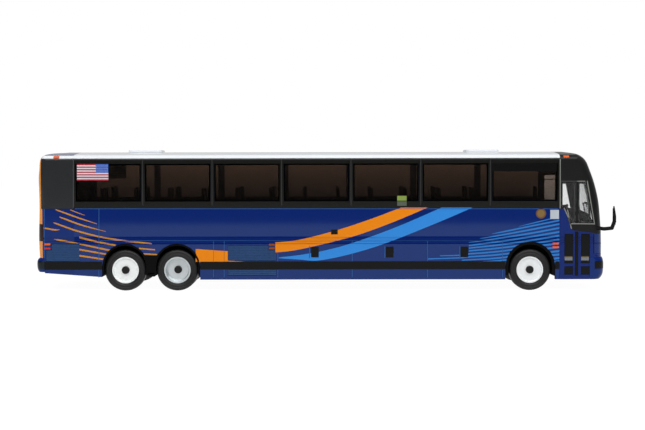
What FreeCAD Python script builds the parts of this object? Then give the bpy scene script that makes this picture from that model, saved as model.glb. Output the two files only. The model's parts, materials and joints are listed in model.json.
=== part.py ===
import FreeCAD, Part
import math
import os

from FreeCAD import Vector

os.makedirs("parts", exist_ok=True)

# Scale model of a three-axle highway coach, in millimetres at the model's own size.
# +X is the front of the coach, +Y its left side and +Z up.
# The origin is on the ground, below the middle of the outer box.

# Body
body_length = 159.15
body_width = 29.8
roof_top = 38.5
skirt_bottom = 3.15
wall = 1.0
roof_corner = 1.6
roof_crown = 118.0
nose_corner = 3.0
tail_corner = 2.0
end_bow = 0.6
front_cap_length = 13.4
rear_cap_length = 11.35
rear_sill_rise = 2.15
rear_sill_start = 0.75

# Axles and wheels
front_overhang = 21.4
rear_overhang = 25.4
tag_spacing = 14.45
tyre_diameter = 11.5
tyre_width = 3.2
tyre_facets = 28
twin_gap = 0.5
wheel_inset = 0.5
wheel_recess = 0.25
rim_radius = 3.7
rim_fit = 0.02
rim_lip = 0.35
rim_shoulder = 0.25
dish_depth = 0.5
drive_dish_depth = 1.9
hub_cap_radius = 1.08
hub_cap_proud = 0.7
axle_radius = 0.8
axle_clearance = 0.05
axle_slot_clearance = 0.3

# Wheel arches
front_arch_clearance = 1.15
front_arch_band = 0.8
front_arch_raise = 1.05
rear_arch_clearance = 0.65
rear_arch_band = 0.5
rear_arch_raise = 1.05
arch_facets = 10
arch_bottom = 4.3
arch_proud = 0.1
arch_bridge_bottom = 5.05
arch_bridge_top = 9.9
well_gap = 0.4

# Window band along each side
band_bottom = 22.85
roof_edge_height = 1.7
band_depth = 0.5
window_count = 7
pane_low_margin = 2.0
pane_high_margin = 1.5
pillar_width = 1.1
pillar_bead = 0.36
pillar_bead_proud = 0.1
glass_lip = 0.4
fit_gap = 0.05

# Glass in the front cap
cab_glass_depth = 0.6
windscreen_bottom = 18.5
windscreen_drop = 6.1
windscreen_half_width = 12.2
windscreen_post = 0.8
sign_drop = 2.6
sign_height = 2.8
sign_half_width = 8.5
side_glass_bottom = 18.65
side_glass_drop = 8.5
driver_glass_rise = 1.95
side_glass_from_joint = 0.5
side_glass_length = 7.05
side_glass_lean = 0.19
side_glass_step_share = 0.417
side_glass_step_start = 1.15
side_glass_step_end = 2.8
mullion_from_joint = 4.5
mullion_width = 0.65

# Wipers
wiper_width = 0.4
wiper_drop = 1.0
wiper_reach = 5.0
wiper_slant = 3.2
wiper_lift = 0.1
wiper_thickness = 0.3

# Headlamps
headlamp_gap_above_bumper = 1.05
headlamp_gap_below_screen = 2.6
headlamp_side_length = 3.8
headlamp_front_width = 5.4
headlamp_split = 0.25

# Entrance door on the right side
door_pane_width = 2.35
door_pane_stations = (1.45, 6.05)
door_seal_station = 4.35
door_seal_width = 0.85
door_insert_depth = 0.35
door_gap_below_glass = 2.35
door_frame_top = 0.6
door_sill = 1.0
door_low_pane = (1.3, 3.55)
door_high_pane_start = 4.45

# Side details
crease_bottom = 14.35
crease_height = 0.55
groove_depth = 0.15
groove_width = 0.18
moulding_grooves = (13.75, 13.05)
rub_bottom = 6.05
rub_top = 8.15
rub_proud = 0.12
rub_depth = 0.3
bay_count = 3
bay_front_gap = 7.93
bay_line_gaps = (1.2, 4.1)
tail_line_gap = 7.35
grille_low = 8.4
grille_high = 12.6
grille_length = 12.7
grille_from_drive_axle = 14.2
grille_line_gap = 0.45
grille_depth = 0.4
grille_bars = 9
sill_grille_low = 4.3
sill_grille_high = 6.0
sill_grille_bars = 3
engine_side_low = 8.35
engine_side_high = 13.0
engine_side_length = 9.3
engine_side_gap = 0.4
engine_side_bars = 10
lamp_pair_heights = ((13.05, 11.9), (12.85, 11.85), (13.05, 12.05))
lamp_from_grille_end = 0.55
lamp_from_front_joint = 1.05
lamp_half_length = 0.8
lamp_half_height = 0.27
lamp_web = 0.2
lamp_depth = 0.3
lamp_proud = 0.15
latch_width = 2.1
latch_height = 2.85
latch_depth = 0.3
latch_proud = 0.1
latch_top = 12.2

# Bumpers
bumper_top = 9.25
front_bumper_return = 5.0
rear_bumper_return = 3.1
bumper_wall = 1.0
rear_bumper_bottom = 5.3
bumper_insert_length = 3.6
bumper_insert_width = 4.2

# Tail
rear_pocket = 0.5
rear_window_low = 24.6
rear_window_drop = 4.1
rear_window_half = 11.6
engine_low = 10.0
engine_high = 21.5
engine_half = 9.6
engine_slots = 10
engine_frame = 0.8
tail_lamp_low = 13.85
tail_lamp_high = 18.65
tail_lamp_inner_y = 10.6
tail_lamp_side_length = 2.9
quarter_from_face = 2.2

# Cabin
floor_bottom = 15.0
floor_thickness = 1.0
floor_front_overlap = 6.2
seat_rows = 12
seat_end_margins = (7.7, 13.9)
seat_height = 12.5
headrest_height = 3.4
headrest_side_gap = 1.1
headrest_thickness = 0.75
seat_back_thickness = 1.3
seat_back_lean = 0.9
seat_cushion_height = 4.6
seat_cushion_depth = 4.8
seat_width = 4.7
seat_gap = 0.3
seat_side_gap = 0.6
seat_rail_height = 0.4
driver_seat_width = 4.8
driver_seat_station = -2.9
driver_y = 6.6
dashboard_station = 6.4
dashboard_heights = (3.5, 4.2, 5.3, 6.2)
dashboard_hood_length = 2.0
dashboard_front_gap = 0.8
dashboard_side_gap = 2.2
steering_radius = 2.3
steering_rim_radius = 0.28
steering_spoke_radius = 0.22
steering_column_radius = 0.4
steering_station = 5.0
steering_height = 5.0
column_run = 2.1
column_drop = 1.4

# Chassis
plate_bottom = 3.9
plate_thickness = 0.8
bearing_half_length = 1.7
bearing_width = 2.0
bearing_edge_gap = 0.2
bearing_top = 7.4
tail_plate_rise = 0.6
screw_radius = 0.8
screw_head_radius = 1.5
screw_head_height = 0.6
screw_clearance = 0.05
screw_slot_half_width = 0.2
post_radius = 2.0
rear_screw_ahead_of_drive_axle = 19.6
front_screw_behind_front_axle = 15.8
display_hole_radius = 1.0
rear_display_hole_ahead_of_drive_axle = 26.0
front_display_hole_behind_front_axle = 21.9
display_boss_radius = 2.2
display_boss_height = 3.0

# Roof and mirrors
hatch_height = 0.6
hatch_seam = 0.02
hatch_length = 9.4
hatch_width = 9.0
rear_hatch_from_joint = 18.2
front_hatch_from_joint = 20.0
roof_lamp_half_length = 0.75
roof_lamp_height = 0.6
roof_lamp_above_band = 0.05
roof_lamp_width = 1.2
roof_lamp_proud = 0.12
front_roof_lamp_from_joint = 1.75
rear_roof_lamp_from_face = 6.6
mirror_lead = 2.0
mirror_turn = 13.0
mirror_head_height = 5.2
mirror_head_width = 2.7
mirror_head_thickness = 0.98
mirror_arm_radius = 0.52
mirror_bottom = 18.3
mirror_outreach = 3.2
mirror_arm_drop = 0.9
mirror_arm_roots = (3.4, 1.2)
mirror_socket = 1.0

# Stations that follow from the sizes above
half_width = body_width / 2
rear_face = -(body_length + mirror_lead) / 2
front_face = rear_face + body_length
front_joint = front_face - front_cap_length
rear_joint = rear_face + rear_cap_length
front_axle_x = front_face - front_overhang
tag_axle_x = rear_face + rear_overhang
drive_axle_x = tag_axle_x + tag_spacing
axle_z = tyre_diameter / 2
front_arch_radius = axle_z + front_arch_clearance
rear_arch_radius = axle_z + rear_arch_clearance
front_arch = (front_arch_radius, axle_z + front_arch_raise)
rear_arch = (rear_arch_radius, axle_z + rear_arch_raise)
wheel_arches = ((front_axle_x, front_arch), (drive_axle_x, rear_arch), (tag_axle_x, rear_arch))
tyre_outer_y = half_width - wheel_inset
front_well = tyre_outer_y - tyre_width - well_gap
twin_well = tyre_outer_y - 2 * tyre_width - twin_gap - well_gap
spine_half_width = twin_well - wall / 2
window_pitch = (front_joint - rear_joint) / window_count
inner_y = half_width - wall
band_top = roof_top - roof_edge_height
pane_bottom = band_bottom + pane_low_margin
pane_top = band_top - pane_high_margin
windscreen_top = roof_top - windscreen_drop
sign_top = roof_top - sign_drop
side_glass_top = roof_top - side_glass_drop
driver_glass_top = side_glass_top + driver_glass_rise
rear_window_high = roof_top - rear_window_drop
headlamp_low = bumper_top + headlamp_gap_above_bumper
headlamp_high = windscreen_bottom - headlamp_gap_below_screen
grille_rear = drive_axle_x + grille_from_drive_axle
grille_front = grille_rear + grille_length
first_bay_line = front_axle_x - bay_front_gap
bay_pitch = (first_bay_line - grille_front - wall) / bay_count
floor_top = floor_bottom + floor_thickness
seat_pitch = (front_joint - rear_joint - sum(seat_end_margins)) / seat_rows
first_seat = rear_joint + seat_end_margins[0]
plate_top = plate_bottom + plate_thickness
screw_stations = (drive_axle_x + rear_screw_ahead_of_drive_axle,
                  front_axle_x - front_screw_behind_front_axle)
display_hole_stations = (drive_axle_x + rear_display_hole_ahead_of_drive_axle,
                         front_axle_x - front_display_hole_behind_front_axle)
hatch_stations = (rear_joint + rear_hatch_from_joint, front_joint - front_hatch_from_joint)
far = 2 * body_length
loft_overlap = body_length / 8

# Side profile of the nose: height as a share of the roof's, and distance behind the front face
nose_shares = (
    (0.078, 0.85), (0.13, 0.75), (0.234, 0.68), (0.325, 0.68), (0.41, 0.75), (0.525, 1.08), (0.639, 1.54),
    (0.727, 2.26), (0.813, 3.25), (0.883, 4.28), (0.93, 5.1), (0.958, 6.05), (0.984, 7.9), (1.003, 11.2),
)
nose_profile = [(roof_top * share, back) for share, back in nose_shares]
dashboard_nose_back = nose_shares[5][1]

# Side profile of the front bumper: height, and distance behind the front face
bumper_profile = [(3.0, 1.3), (3.8, 0.55), (4.8, 0.14), (6.0, 0.02), (7.2, 0.0), (8.3, 0.1),
                  (bumper_top + fit_gap, 0.5)]

# Side profile of the tail: height as a share of the roof's, and distance ahead of the rear face
tail_shares = (
    (0.078, 0.75), (0.26, 0.75), (0.52, 0.75), (0.753, 0.75), (0.857, 0.85), (0.922, 1.05),
    (0.955, 1.4), (0.98, 2.5), (1.003, 7.3),
)
tail_profile = [(roof_top * share, ahead) for share, ahead in tail_shares]
rear_bumper_profile = [(5.0, 0.95), (5.9, 0.2), (7.2, 0.0), (8.5, 0.15), (bumper_top + fit_gap, 0.9)]

# Distance from the rear face to the floor of the pockets in the tail
tail_skin_depth = tail_shares[1][1] + end_bow + rear_pocket


def box(x0, x1, y0, y1, z0, z1):
    return Part.makeBox(x1 - x0, y1 - y0, z1 - z0, Vector(x0, y0, z0))


def prism_y(points, y0, y1):
    wire = Part.makePolygon([Vector(x, y0, z) for x, z in points + points[:1]])
    return Part.Face(wire).extrude(Vector(0, y1 - y0, 0))


def prism_x(points, x0, x1):
    wire = Part.makePolygon([Vector(x0, y, z) for y, z in points + points[:1]])
    return Part.Face(wire).extrude(Vector(x1 - x0, 0, 0))


def rod_y(x, z, radius, y0, y1):
    return Part.makeCylinder(radius, y1 - y0, Vector(x, y0, z), Vector(0, 1, 0))


def rod_z(x, y, radius, z0, z1):
    return Part.makeCylinder(radius, z1 - z0, Vector(x, y, z0), Vector(0, 0, 1))


def joined(shapes):
    whole = shapes[0]
    if len(shapes) > 1:
        whole = whole.fuse(shapes[1:])
    return whole.removeSplitter()


def mirrored(shape):
    return shape.mirror(Vector(0, 0, 0), Vector(0, 1, 0))


def both_sides(shape):
    return [shape, mirrored(shape)]


def loose(shapes):
    solids = []
    for shape in shapes:
        solids.extend(shape.Solids)
    return Part.Compound(solids)


def save(name, shape):
    shape.exportStep("parts/" + name + ".step")
    print(name, len(shape.Solids), "solids,", round(shape.Volume, 2), "mm3")


# Body surfaces
def body_section(inset, x, low):
    # Cross-section of the body: upright sides, rounded roof edges and a shallow crown.
    half = half_width - inset
    corner = max(roof_corner - inset, 0.1)
    crown = roof_crown - inset
    top = roof_top - inset
    corner_y = half - corner
    crown_z = top - crown
    corner_z = crown_z + math.sqrt((crown - corner) ** 2 - corner_y ** 2)
    lean = math.atan2(corner_z - crown_z, corner_y)
    edge_y = crown * math.cos(lean)
    edge_z = crown_z + crown * math.sin(lean)
    mid_y = corner_y + corner * math.cos(lean / 2)
    mid_z = corner_z + corner * math.sin(lean / 2)
    edges = [
        Part.LineSegment(Vector(x, -half, low), Vector(x, half, low)),
        Part.LineSegment(Vector(x, half, low), Vector(x, half, corner_z)),
        Part.Arc(Vector(x, half, corner_z), Vector(x, mid_y, mid_z), Vector(x, edge_y, edge_z)),
        Part.Arc(Vector(x, edge_y, edge_z), Vector(x, 0, top), Vector(x, -edge_y, edge_z)),
        Part.Arc(Vector(x, -edge_y, edge_z), Vector(x, -mid_y, mid_z), Vector(x, -half, corner_z)),
        Part.LineSegment(Vector(x, -half, corner_z), Vector(x, -half, low)),
    ]
    return Part.Face(Part.Wire([edge.toShape() for edge in edges]))


def body_prism(inset, x0, x1, low):
    return body_section(inset, x0, low).extrude(Vector(x1 - x0, 0, 0))


def offset_profile(profile, inset):
    # Moves each point of a profile inwards, square to the line through its neighbours.
    moved = []
    for i, (z, back) in enumerate(profile):
        z_a, back_a = profile[max(i - 1, 0)]
        z_b, back_b = profile[min(i + 1, len(profile) - 1)]
        run = math.hypot(z_b - z_a, back_b - back_a)
        moved.append((z - inset * (back_b - back_a) / run, back + inset * (z_b - z_a) / run))
    return moved


def plan_wire(z, end_x, joint_x, inset, plan_corner):
    # Horizontal outline of a cap: square at the joint, rounded corners and a bowed end.
    way = 1 if end_x > joint_x else -1
    half = half_width - inset
    corner = max(plan_corner - inset, 0.3)
    flat_x = end_x - way * end_bow
    turn_x = flat_x - way * corner
    turn = corner * (1 - math.sqrt(0.5))
    edges = [
        Part.LineSegment(Vector(joint_x, -half, z), Vector(turn_x, -half, z)),
        Part.Arc(Vector(turn_x, -half, z), Vector(flat_x - way * turn, -half + turn, z),
                 Vector(flat_x, -half + corner, z)),
        Part.Arc(Vector(flat_x, -half + corner, z), Vector(end_x, 0, z),
                 Vector(flat_x, half - corner, z)),
        Part.Arc(Vector(flat_x, half - corner, z), Vector(flat_x - way * turn, half - turn, z),
                 Vector(turn_x, half, z)),
        Part.LineSegment(Vector(turn_x, half, z), Vector(joint_x, half, z)),
        Part.LineSegment(Vector(joint_x, half, z), Vector(joint_x, -half, z)),
    ]
    return Part.Wire([edge.toShape() for edge in edges])


def nose_solid(inset, profile=nose_profile):
    # The start plane lies behind the joint so that every outline has its corners ahead of it.
    back_plane = front_joint - loft_overlap
    wires = []
    for z, back in offset_profile(profile, inset):
        wires.append(plan_wire(z, front_face - back, back_plane, inset, nose_corner))
    return Part.makeLoft(wires, True, False)


def tail_solid(inset, profile=tail_profile):
    # The tail is nearly upright, so an inset moves its outlines straight ahead.
    back_plane = rear_joint + loft_overlap
    wires = []
    for z, ahead in profile:
        wires.append(plan_wire(z, rear_face + ahead + inset, back_plane, inset, tail_corner))
    return Part.makeLoft(wires, True, False)


def cap_solid(end_solid, inset, x0, x1):
    # A cap is the part of the rounded end that lies inside the body's own cross-section.
    return end_solid.common(body_prism(inset, x0, x1, 0.0))


def nose_cap(inset):
    extra = wall if inset > 0 else 0
    return cap_solid(nose_solid(inset), inset, front_joint - extra, front_face + wall)


def nose_layer(depth):
    return nose_cap(0).cut(nose_cap(depth))


# Wheel arches
def arch_outline(axle_x, radius, centre_z, bottom):
    points = [(axle_x + radius, bottom)]
    for i in range(arch_facets + 1):
        angle = math.pi * i / arch_facets
        points.append((axle_x + radius * math.cos(angle), centre_z + radius * math.sin(angle)))
    points.append((axle_x - radius, bottom))
    return points


def arch_cut(axle_x, arch):
    radius, centre_z = arch
    return prism_y(arch_outline(axle_x, radius, centre_z, -wall), -half_width - wall, half_width + wall)


def bridge_box(y0, y1, grow):
    return box(tag_axle_x, drive_axle_x, y0, y1, -wall if grow else arch_bridge_bottom,
               arch_bridge_top)


def all_arch_cuts():
    cuts = [arch_cut(x, arch) for x, arch in wheel_arches]
    cuts.append(bridge_box(-half_width - wall, half_width + wall, True))
    return cuts


def arch_trim(axles, arch, band, depth_y, bridge):
    # A black ring round each opening, with a back wall that hides the cabin and a slot for the axle.
    outer_y = half_width + arch_proud
    back_y = depth_y - wall / 2
    radius = arch[0] - fit_gap
    centre_z = arch[1]
    rings = [prism_y(arch_outline(x, radius, centre_z, arch_bottom), back_y, outer_y) for x in axles]
    if bridge:
        rings.append(bridge_box(back_y, outer_y, False))
    trim = joined(rings)
    hollow = [prism_y(arch_outline(x, radius - band, centre_z, -wall), depth_y, outer_y + wall)
              for x in axles]
    slot_half = axle_radius + axle_slot_clearance
    slots = [box(x - slot_half, x + slot_half, back_y - wall, depth_y + wall, 0, axle_z + slot_half)
             for x in axles]
    return trim.cut(hollow + slots).removeSplitter()


def rear_sill_wedge():
    # The sill rises towards the tail behind the last wheel.
    start_x = tag_axle_x - rear_arch_radius + fit_gap / 5
    return prism_y([
        (start_x, -wall), (start_x, skirt_bottom + rear_sill_start),
        (rear_face - wall, skirt_bottom + rear_sill_rise), (rear_face - wall, -wall),
    ], -half_width - wall, half_width + wall)


# Side windows
def window_edges():
    return [rear_joint + window_pitch * i for i in range(window_count + 1)]


def pane_spans(shrink):
    edges = window_edges()
    half_pillar = pillar_width / 2 + shrink
    return [(a + half_pillar, b - half_pillar) for a, b in zip(edges, edges[1:])]


def side_pane_boxes(shrink, y0, y1):
    return [box(a, b, y0, y1, pane_bottom + shrink, pane_top - shrink) for a, b in pane_spans(shrink)]


def make_window_band():
    seat_y = half_width - band_depth
    band = body_prism(0, rear_joint, front_joint, 0.0)
    band = band.common(box(rear_joint + fit_gap, front_joint - fit_gap, seat_y, half_width + wall,
                           band_bottom + fit_gap, band_top - fit_gap))
    beads = []
    for x in window_edges()[1:-1]:
        beads.append(box(x - pillar_bead / 2, x + pillar_bead / 2, half_width - band_depth / 2,
                         half_width + pillar_bead_proud, pane_bottom - glass_lip * 3, band_top - glass_lip))
    band = band.cut(side_pane_boxes(0, seat_y - wall, half_width + wall))
    return joined([band] + beads)


def make_window_panes():
    seat_y = half_width - band_depth
    return loose(side_pane_boxes(fit_gap, seat_y, half_width - fit_gap))


# Body shell
def side_slots():
    # Creases, moulding grooves and panel lines of the right side, as cutters.
    cut_y = half_width - groove_depth
    slots = [box(rear_joint - far, front_joint + far, cut_y, half_width + wall,
                 crease_bottom, crease_bottom + crease_height)]
    for z in moulding_grooves:
        slots.append(box(rear_joint - far, front_joint + far, cut_y, half_width + wall,
                         z, z + groove_width))
    for x in panel_lines():
        slots.append(box(x, x + groove_width, cut_y, half_width + wall, 0, moulding_grooves[-1]))
    for x in tall_lines():
        slots.append(box(x, x + groove_width, cut_y, half_width + wall, 0, band_bottom - groove_width))
    return slots


def panel_lines():
    lines = [first_bay_line - bay_pitch * i for i in range(bay_count + 1)]
    lines += [grille_rear - gap for gap in bay_line_gaps]
    return lines


def tall_lines():
    # The line behind the rear arch and the seam of the front cap run up to the windows.
    return [tag_axle_x - tail_line_gap, front_joint]


def rub_spans():
    # The rub strip runs between the openings of the wheel arches and over both caps.
    gap = fit_gap
    return [
        (rear_face + rear_bumper_return + gap, tag_axle_x - rear_arch_radius - gap),
        (drive_axle_x + rear_arch_radius + gap, front_axle_x - front_arch_radius - gap),
        (front_axle_x + front_arch_radius + gap, front_joint - gap),
    ]


def rub_pockets(grow):
    return [box(a - grow, b + grow, half_width - rub_depth - grow, half_width + wall,
                rub_bottom - grow, rub_top + grow) for a, b in rub_spans()]


def make_rub_strips():
    reach = box(-far, far, 0, half_width + rub_proud, 0, roof_top)
    return [shape.common(reach) for shape in rub_pockets(0)]


def lamp_sites():
    # Pairs of side marker lamps: centre X and the heights of the two lamps.
    centres = [
        rear_face + rear_bumper_return + lamp_half_length + fit_gap,
        grille_front - lamp_from_grille_end,
        front_joint - lamp_from_front_joint,
    ]
    return list(zip(centres, lamp_pair_heights))


def lamp_boxes(grow, outer_y):
    boxes = []
    for x, heights in lamp_sites():
        for z in heights:
            boxes.append(box(x - lamp_half_length - grow, x + lamp_half_length + grow,
                             half_width - lamp_depth - grow, outer_y,
                             z - lamp_half_height - grow, z + lamp_half_height + grow))
    return boxes


def latch_boxes(grow, outer_y):
    boxes = []
    for i in range(bay_count):
        right = first_bay_line - bay_pitch * (i + 0.5) + latch_width / 2
        boxes.append(box(right - latch_width - grow, right + grow, half_width - latch_depth - grow,
                         outer_y, latch_top - latch_height - grow, latch_top + grow))
    return boxes


def grille_sites():
    # Louvred openings: both ends, both heights and the number of slats.
    front_end = grille_front + wall - grille_line_gap
    rear_end = rear_face + rear_bumper_return + engine_side_gap
    return [
        (grille_rear, front_end, grille_low, grille_high, grille_bars),
        (grille_rear, front_end, sill_grille_low, sill_grille_high, sill_grille_bars),
        (rear_end, rear_end + engine_side_length, engine_side_low, engine_side_high, engine_side_bars),
    ]


def lamp_notches(grow):
    # The corners that the louvres leave free for the lamps beside them.
    notches = []
    for x, heights in lamp_sites()[:2]:
        reach = lamp_half_length + lamp_web + grow
        low = min(heights) - lamp_half_height - lamp_web - grow
        notches.append(box(x - reach, x + reach, 0, half_width + wall, low, engine_side_high + wall))
    return notches


def grille_boxes(grow, y0, y1):
    return [box(a - grow, b + grow, y0, y1, low - grow, high + grow).cut(lamp_notches(0))
            for a, b, low, high, bars in grille_sites()]


def make_side_grilles():
    # Flat plates with raised slats.
    plate_y = half_width - grille_depth
    grilles = []
    for a, b, low, high, bars in grille_sites():
        plate = box(a, b, plate_y, half_width - grille_depth / 2, low, high)
        pitch = (high - low) / bars
        slats = [box(a, b, plate_y, half_width - fit_gap, low + pitch * (i + 0.25), low + pitch * (i + 0.75))
                 for i in range(bars)]
        grilles.append(joined([plate] + slats).cut(lamp_notches(fit_gap)))
    return grilles


def side_cutters():
    # Everything that is let into one side of the body, for the left side.
    cuts = side_slots()
    cuts += rub_pockets(fit_gap)
    cuts += lamp_boxes(fit_gap, half_width + wall)
    cuts += latch_boxes(fit_gap, half_width + wall)
    cuts += grille_boxes(fit_gap, half_width - grille_depth, half_width + wall)
    return cuts


def mirrored_list(shapes):
    return shapes + [mirrored(shape) for shape in shapes]


def make_body_shell():
    outer = body_prism(0, rear_joint, front_joint, skirt_bottom)
    inner = body_prism(wall, rear_joint - wall, front_joint + wall, 0.0)
    cuts = [inner, rear_sill_wedge()] + all_arch_cuts()
    seat_y = half_width - band_depth
    band_pocket = box(rear_joint - wall, front_joint + wall, seat_y, half_width + wall,
                      band_bottom, band_top)
    cuts += mirrored_list([band_pocket] + side_pane_boxes(glass_lip, 0, half_width + wall))
    cuts += mirrored_list(side_cutters())
    return outer.cut(cuts).removeSplitter()


# Front cap and what it carries
def side_glass_outline(shrink, top):
    # Quarter light over the door: it drops lower ahead of a slanted edge.
    start = front_joint + side_glass_from_joint
    end = start + side_glass_length - shrink
    height = side_glass_top - side_glass_bottom
    step = side_glass_bottom + height * side_glass_step_share + shrink
    return [
        (start + shrink, top - shrink),
        (end - (top - side_glass_top) * side_glass_lean, top - shrink),
        (end + height * side_glass_lean, side_glass_bottom + shrink),
        (start + side_glass_step_end + 2 * shrink, side_glass_bottom + shrink),
        (start + side_glass_step_start + shrink, step),
        (start + shrink, step),
    ]


def side_glass_prism(shrink, top):
    whole = prism_y(side_glass_outline(shrink, top), half_width / 2, half_width + wall)
    post_x = front_joint + mullion_from_joint
    post = box(post_x - shrink, post_x + mullion_width + shrink, 0, half_width + 2 * wall, 0, roof_top)
    return whole.cut(post)


def side_glass_pair(shrink):
    # The driver's window reaches higher than the one over the door.
    return [side_glass_prism(shrink, driver_glass_top), mirrored(side_glass_prism(shrink, side_glass_top))]


def windscreen_prism(shrink):
    return box(front_joint, front_face + wall, windscreen_post / 2 + shrink, windscreen_half_width - shrink,
               windscreen_bottom + shrink, windscreen_top - shrink)


def sign_prism(shrink):
    return box(front_joint, front_face + wall, -sign_half_width + shrink, sign_half_width - shrink,
               sign_top - sign_height + shrink, sign_top - shrink)


def headlamp_prism(shrink):
    # One lens over the other, with a thin bar between them.
    x0 = front_face - headlamp_side_length + shrink
    y0 = half_width - headlamp_front_width + shrink
    middle = (headlamp_low + headlamp_high) / 2
    whole = box(x0, front_face + wall, y0, half_width + wall, headlamp_low + shrink, headlamp_high - shrink)
    half_bar = headlamp_split / 2 + shrink
    return whole.cut(box(x0 - wall, front_face + 2 * wall, y0 - wall, half_width + 2 * wall,
                         middle - half_bar, middle + half_bar))


def door_insert_boxes(grow, outer_y):
    # Four dark panes and the seal between the two leaves, on the right side.
    inner = -half_width + door_insert_depth + grow
    seal_top = side_glass_bottom - door_gap_below_glass
    low_panes = [skirt_bottom + height for height in door_low_pane]
    boxes = []
    for station in door_pane_stations:
        a = front_joint + station - grow
        b = a + door_pane_width + 2 * grow
        boxes.append(box(a, b, -outer_y, inner, skirt_bottom + door_high_pane_start - grow,
                         seal_top - door_frame_top + grow))
        boxes.append(box(a, b, -outer_y, inner, low_panes[0] - grow, low_panes[1] + grow))
    seal_x = front_joint + door_seal_station
    boxes.append(box(seal_x - grow, seal_x + door_seal_width + grow, -outer_y, inner,
                     skirt_bottom + door_sill - grow, seal_top + grow))
    return boxes


def bumper_zone(grow):
    return box(front_face - front_bumper_return - grow, front_face + wall, -half_width - wall,
               half_width + wall, 0, bumper_top + grow)


def make_front_cap():
    low = box(rear_face, front_face + wall, -half_width - wall, half_width + wall, 0, skirt_bottom)
    windows = mirrored_list([windscreen_prism(0), headlamp_prism(0)]) + side_glass_pair(0) + [sign_prism(0)]
    layer = nose_layer(cab_glass_depth)
    cuts = [nose_cap(wall), low, bumper_zone(0), arch_cut(front_axle_x, front_arch)]
    cuts += [layer.common(shape) for shape in windows]
    cuts += side_glass_pair(glass_lip) + mirrored_list([windscreen_prism(glass_lip)])
    cuts += door_insert_boxes(fit_gap, half_width + wall)
    cuts += mirrored_list([front_roof_lamp_box(fit_gap)] + side_slots())
    return nose_cap(0).cut(cuts).removeSplitter()


def glazing(prisms):
    layer = nose_layer(cab_glass_depth - fit_gap)
    return [layer.common(prism) for prism in prisms]


def make_front_bumper():
    outer = nose_solid(0, bumper_profile).common(bumper_zone(-fit_gap))
    inner = nose_solid(bumper_wall, bumper_profile)
    inner = inner.common(box(0, front_face, -half_width, half_width, 0, roof_top))
    floor_cut = box(0, front_face + wall, -half_width - wall, half_width + wall, -wall, skirt_bottom)
    groove = nose_solid(0, bumper_profile).cut(nose_solid(rub_depth, bumper_profile))
    groove = groove.common(bumper_insert_zone(0))
    return outer.cut([inner, floor_cut, groove, mirrored(groove)]).removeSplitter()


def bumper_insert_zone(shrink):
    return box(front_face - bumper_insert_length + shrink, front_face + wall,
               half_width - bumper_insert_width + shrink, half_width + wall,
               rub_bottom + shrink, rub_top - shrink)


def make_bumper_inserts():
    layer = nose_solid(0, bumper_profile).cut(nose_solid(rub_depth - fit_gap, bumper_profile))
    return loose(both_sides(layer.common(bumper_insert_zone(fit_gap))))


def make_wipers():
    # Two arms that lie a little above the glass, each on its spindle.
    lift = wiper_lift + wiper_thickness
    skin = cap_solid(nose_solid(-lift), -lift, front_joint, front_face + wall)
    skin = skin.cut(nose_solid(-wiper_lift))
    low = windscreen_bottom - wiper_drop
    high = min(windscreen_bottom + wiper_reach, windscreen_top)
    wipers = []
    for y in (-windscreen_half_width / 2, windscreen_half_width / 2):
        wipers.append(skin.common(prism_x([
            (y - wiper_width / 2, low), (y + wiper_width / 2, low),
            (y + wiper_slant + wiper_width / 2, high), (y + wiper_slant - wiper_width / 2, high),
        ], front_joint, front_face + wall)))
    return loose(wipers)


# Rear cap and what it carries
def rear_box(depth, shrink, half, low, high):
    return box(rear_face - wall, rear_face + depth, -half + shrink, half - shrink,
               low + shrink, high - shrink)


def tail_lamp_zone(shrink):
    return box(rear_face - wall, rear_face + tail_lamp_side_length - shrink, tail_lamp_inner_y + shrink,
               half_width + wall, tail_lamp_low + shrink, tail_lamp_high - shrink)


def quarter_zone(shrink):
    return box(rear_face + quarter_from_face + shrink, rear_joint - shrink, 0, half_width + wall,
               band_bottom + shrink, band_top - shrink)


def tail_layer(depth, zone):
    # Lamps and panels wrap round the corners of the tail with an even depth.
    layer = cap_solid(tail_solid(0), 0, rear_face - wall, rear_joint).cut(tail_solid(depth))
    return layer.common(zone)


def rear_bumper_zone(grow):
    return box(rear_face - wall, rear_face + rear_bumper_return + grow, -half_width - wall,
               half_width + wall, 0, bumper_top + grow)


def make_rear_cap():
    outer = cap_solid(tail_solid(0), 0, rear_face - wall, rear_joint)
    inner = cap_solid(tail_solid(wall + rear_pocket), wall, rear_face, rear_joint + wall)
    low = box(rear_face - wall, rear_joint + wall, -half_width - wall, half_width + wall, 0, skirt_bottom)
    cuts = [inner, low, rear_sill_wedge(), rear_bumper_zone(0)]
    cuts.append(rear_box(tail_skin_depth, 0, rear_window_half, rear_window_low, rear_window_high))
    cuts.append(rear_box(tail_skin_depth, 0, engine_half, engine_low, engine_high))
    cuts += mirrored_list([tail_layer(rear_pocket, tail_lamp_zone(0))])
    cuts += mirrored_list([tail_layer(band_depth, quarter_zone(0))])
    cuts += mirrored_list([rear_roof_lamp_box(fit_gap)])
    cuts += mirrored_list(side_cutters())
    return outer.cut(cuts).removeSplitter()


def make_rear_quarter_panels():
    return loose(both_sides(tail_layer(band_depth - fit_gap, quarter_zone(fit_gap))))


def make_rear_bumper():
    outer = tail_solid(0, rear_bumper_profile).common(rear_bumper_zone(-fit_gap))
    outer = outer.common(box(rear_face - wall, 0, -half_width, half_width, rear_bumper_bottom, roof_top))
    inner = tail_solid(bumper_wall + rear_pocket, rear_bumper_profile)
    return outer.cut([inner]).removeSplitter()


def make_rear_window():
    return tail_solid(0).common(rear_box(tail_skin_depth - fit_gap, fit_gap, rear_window_half,
                                         rear_window_low, rear_window_high))


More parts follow.
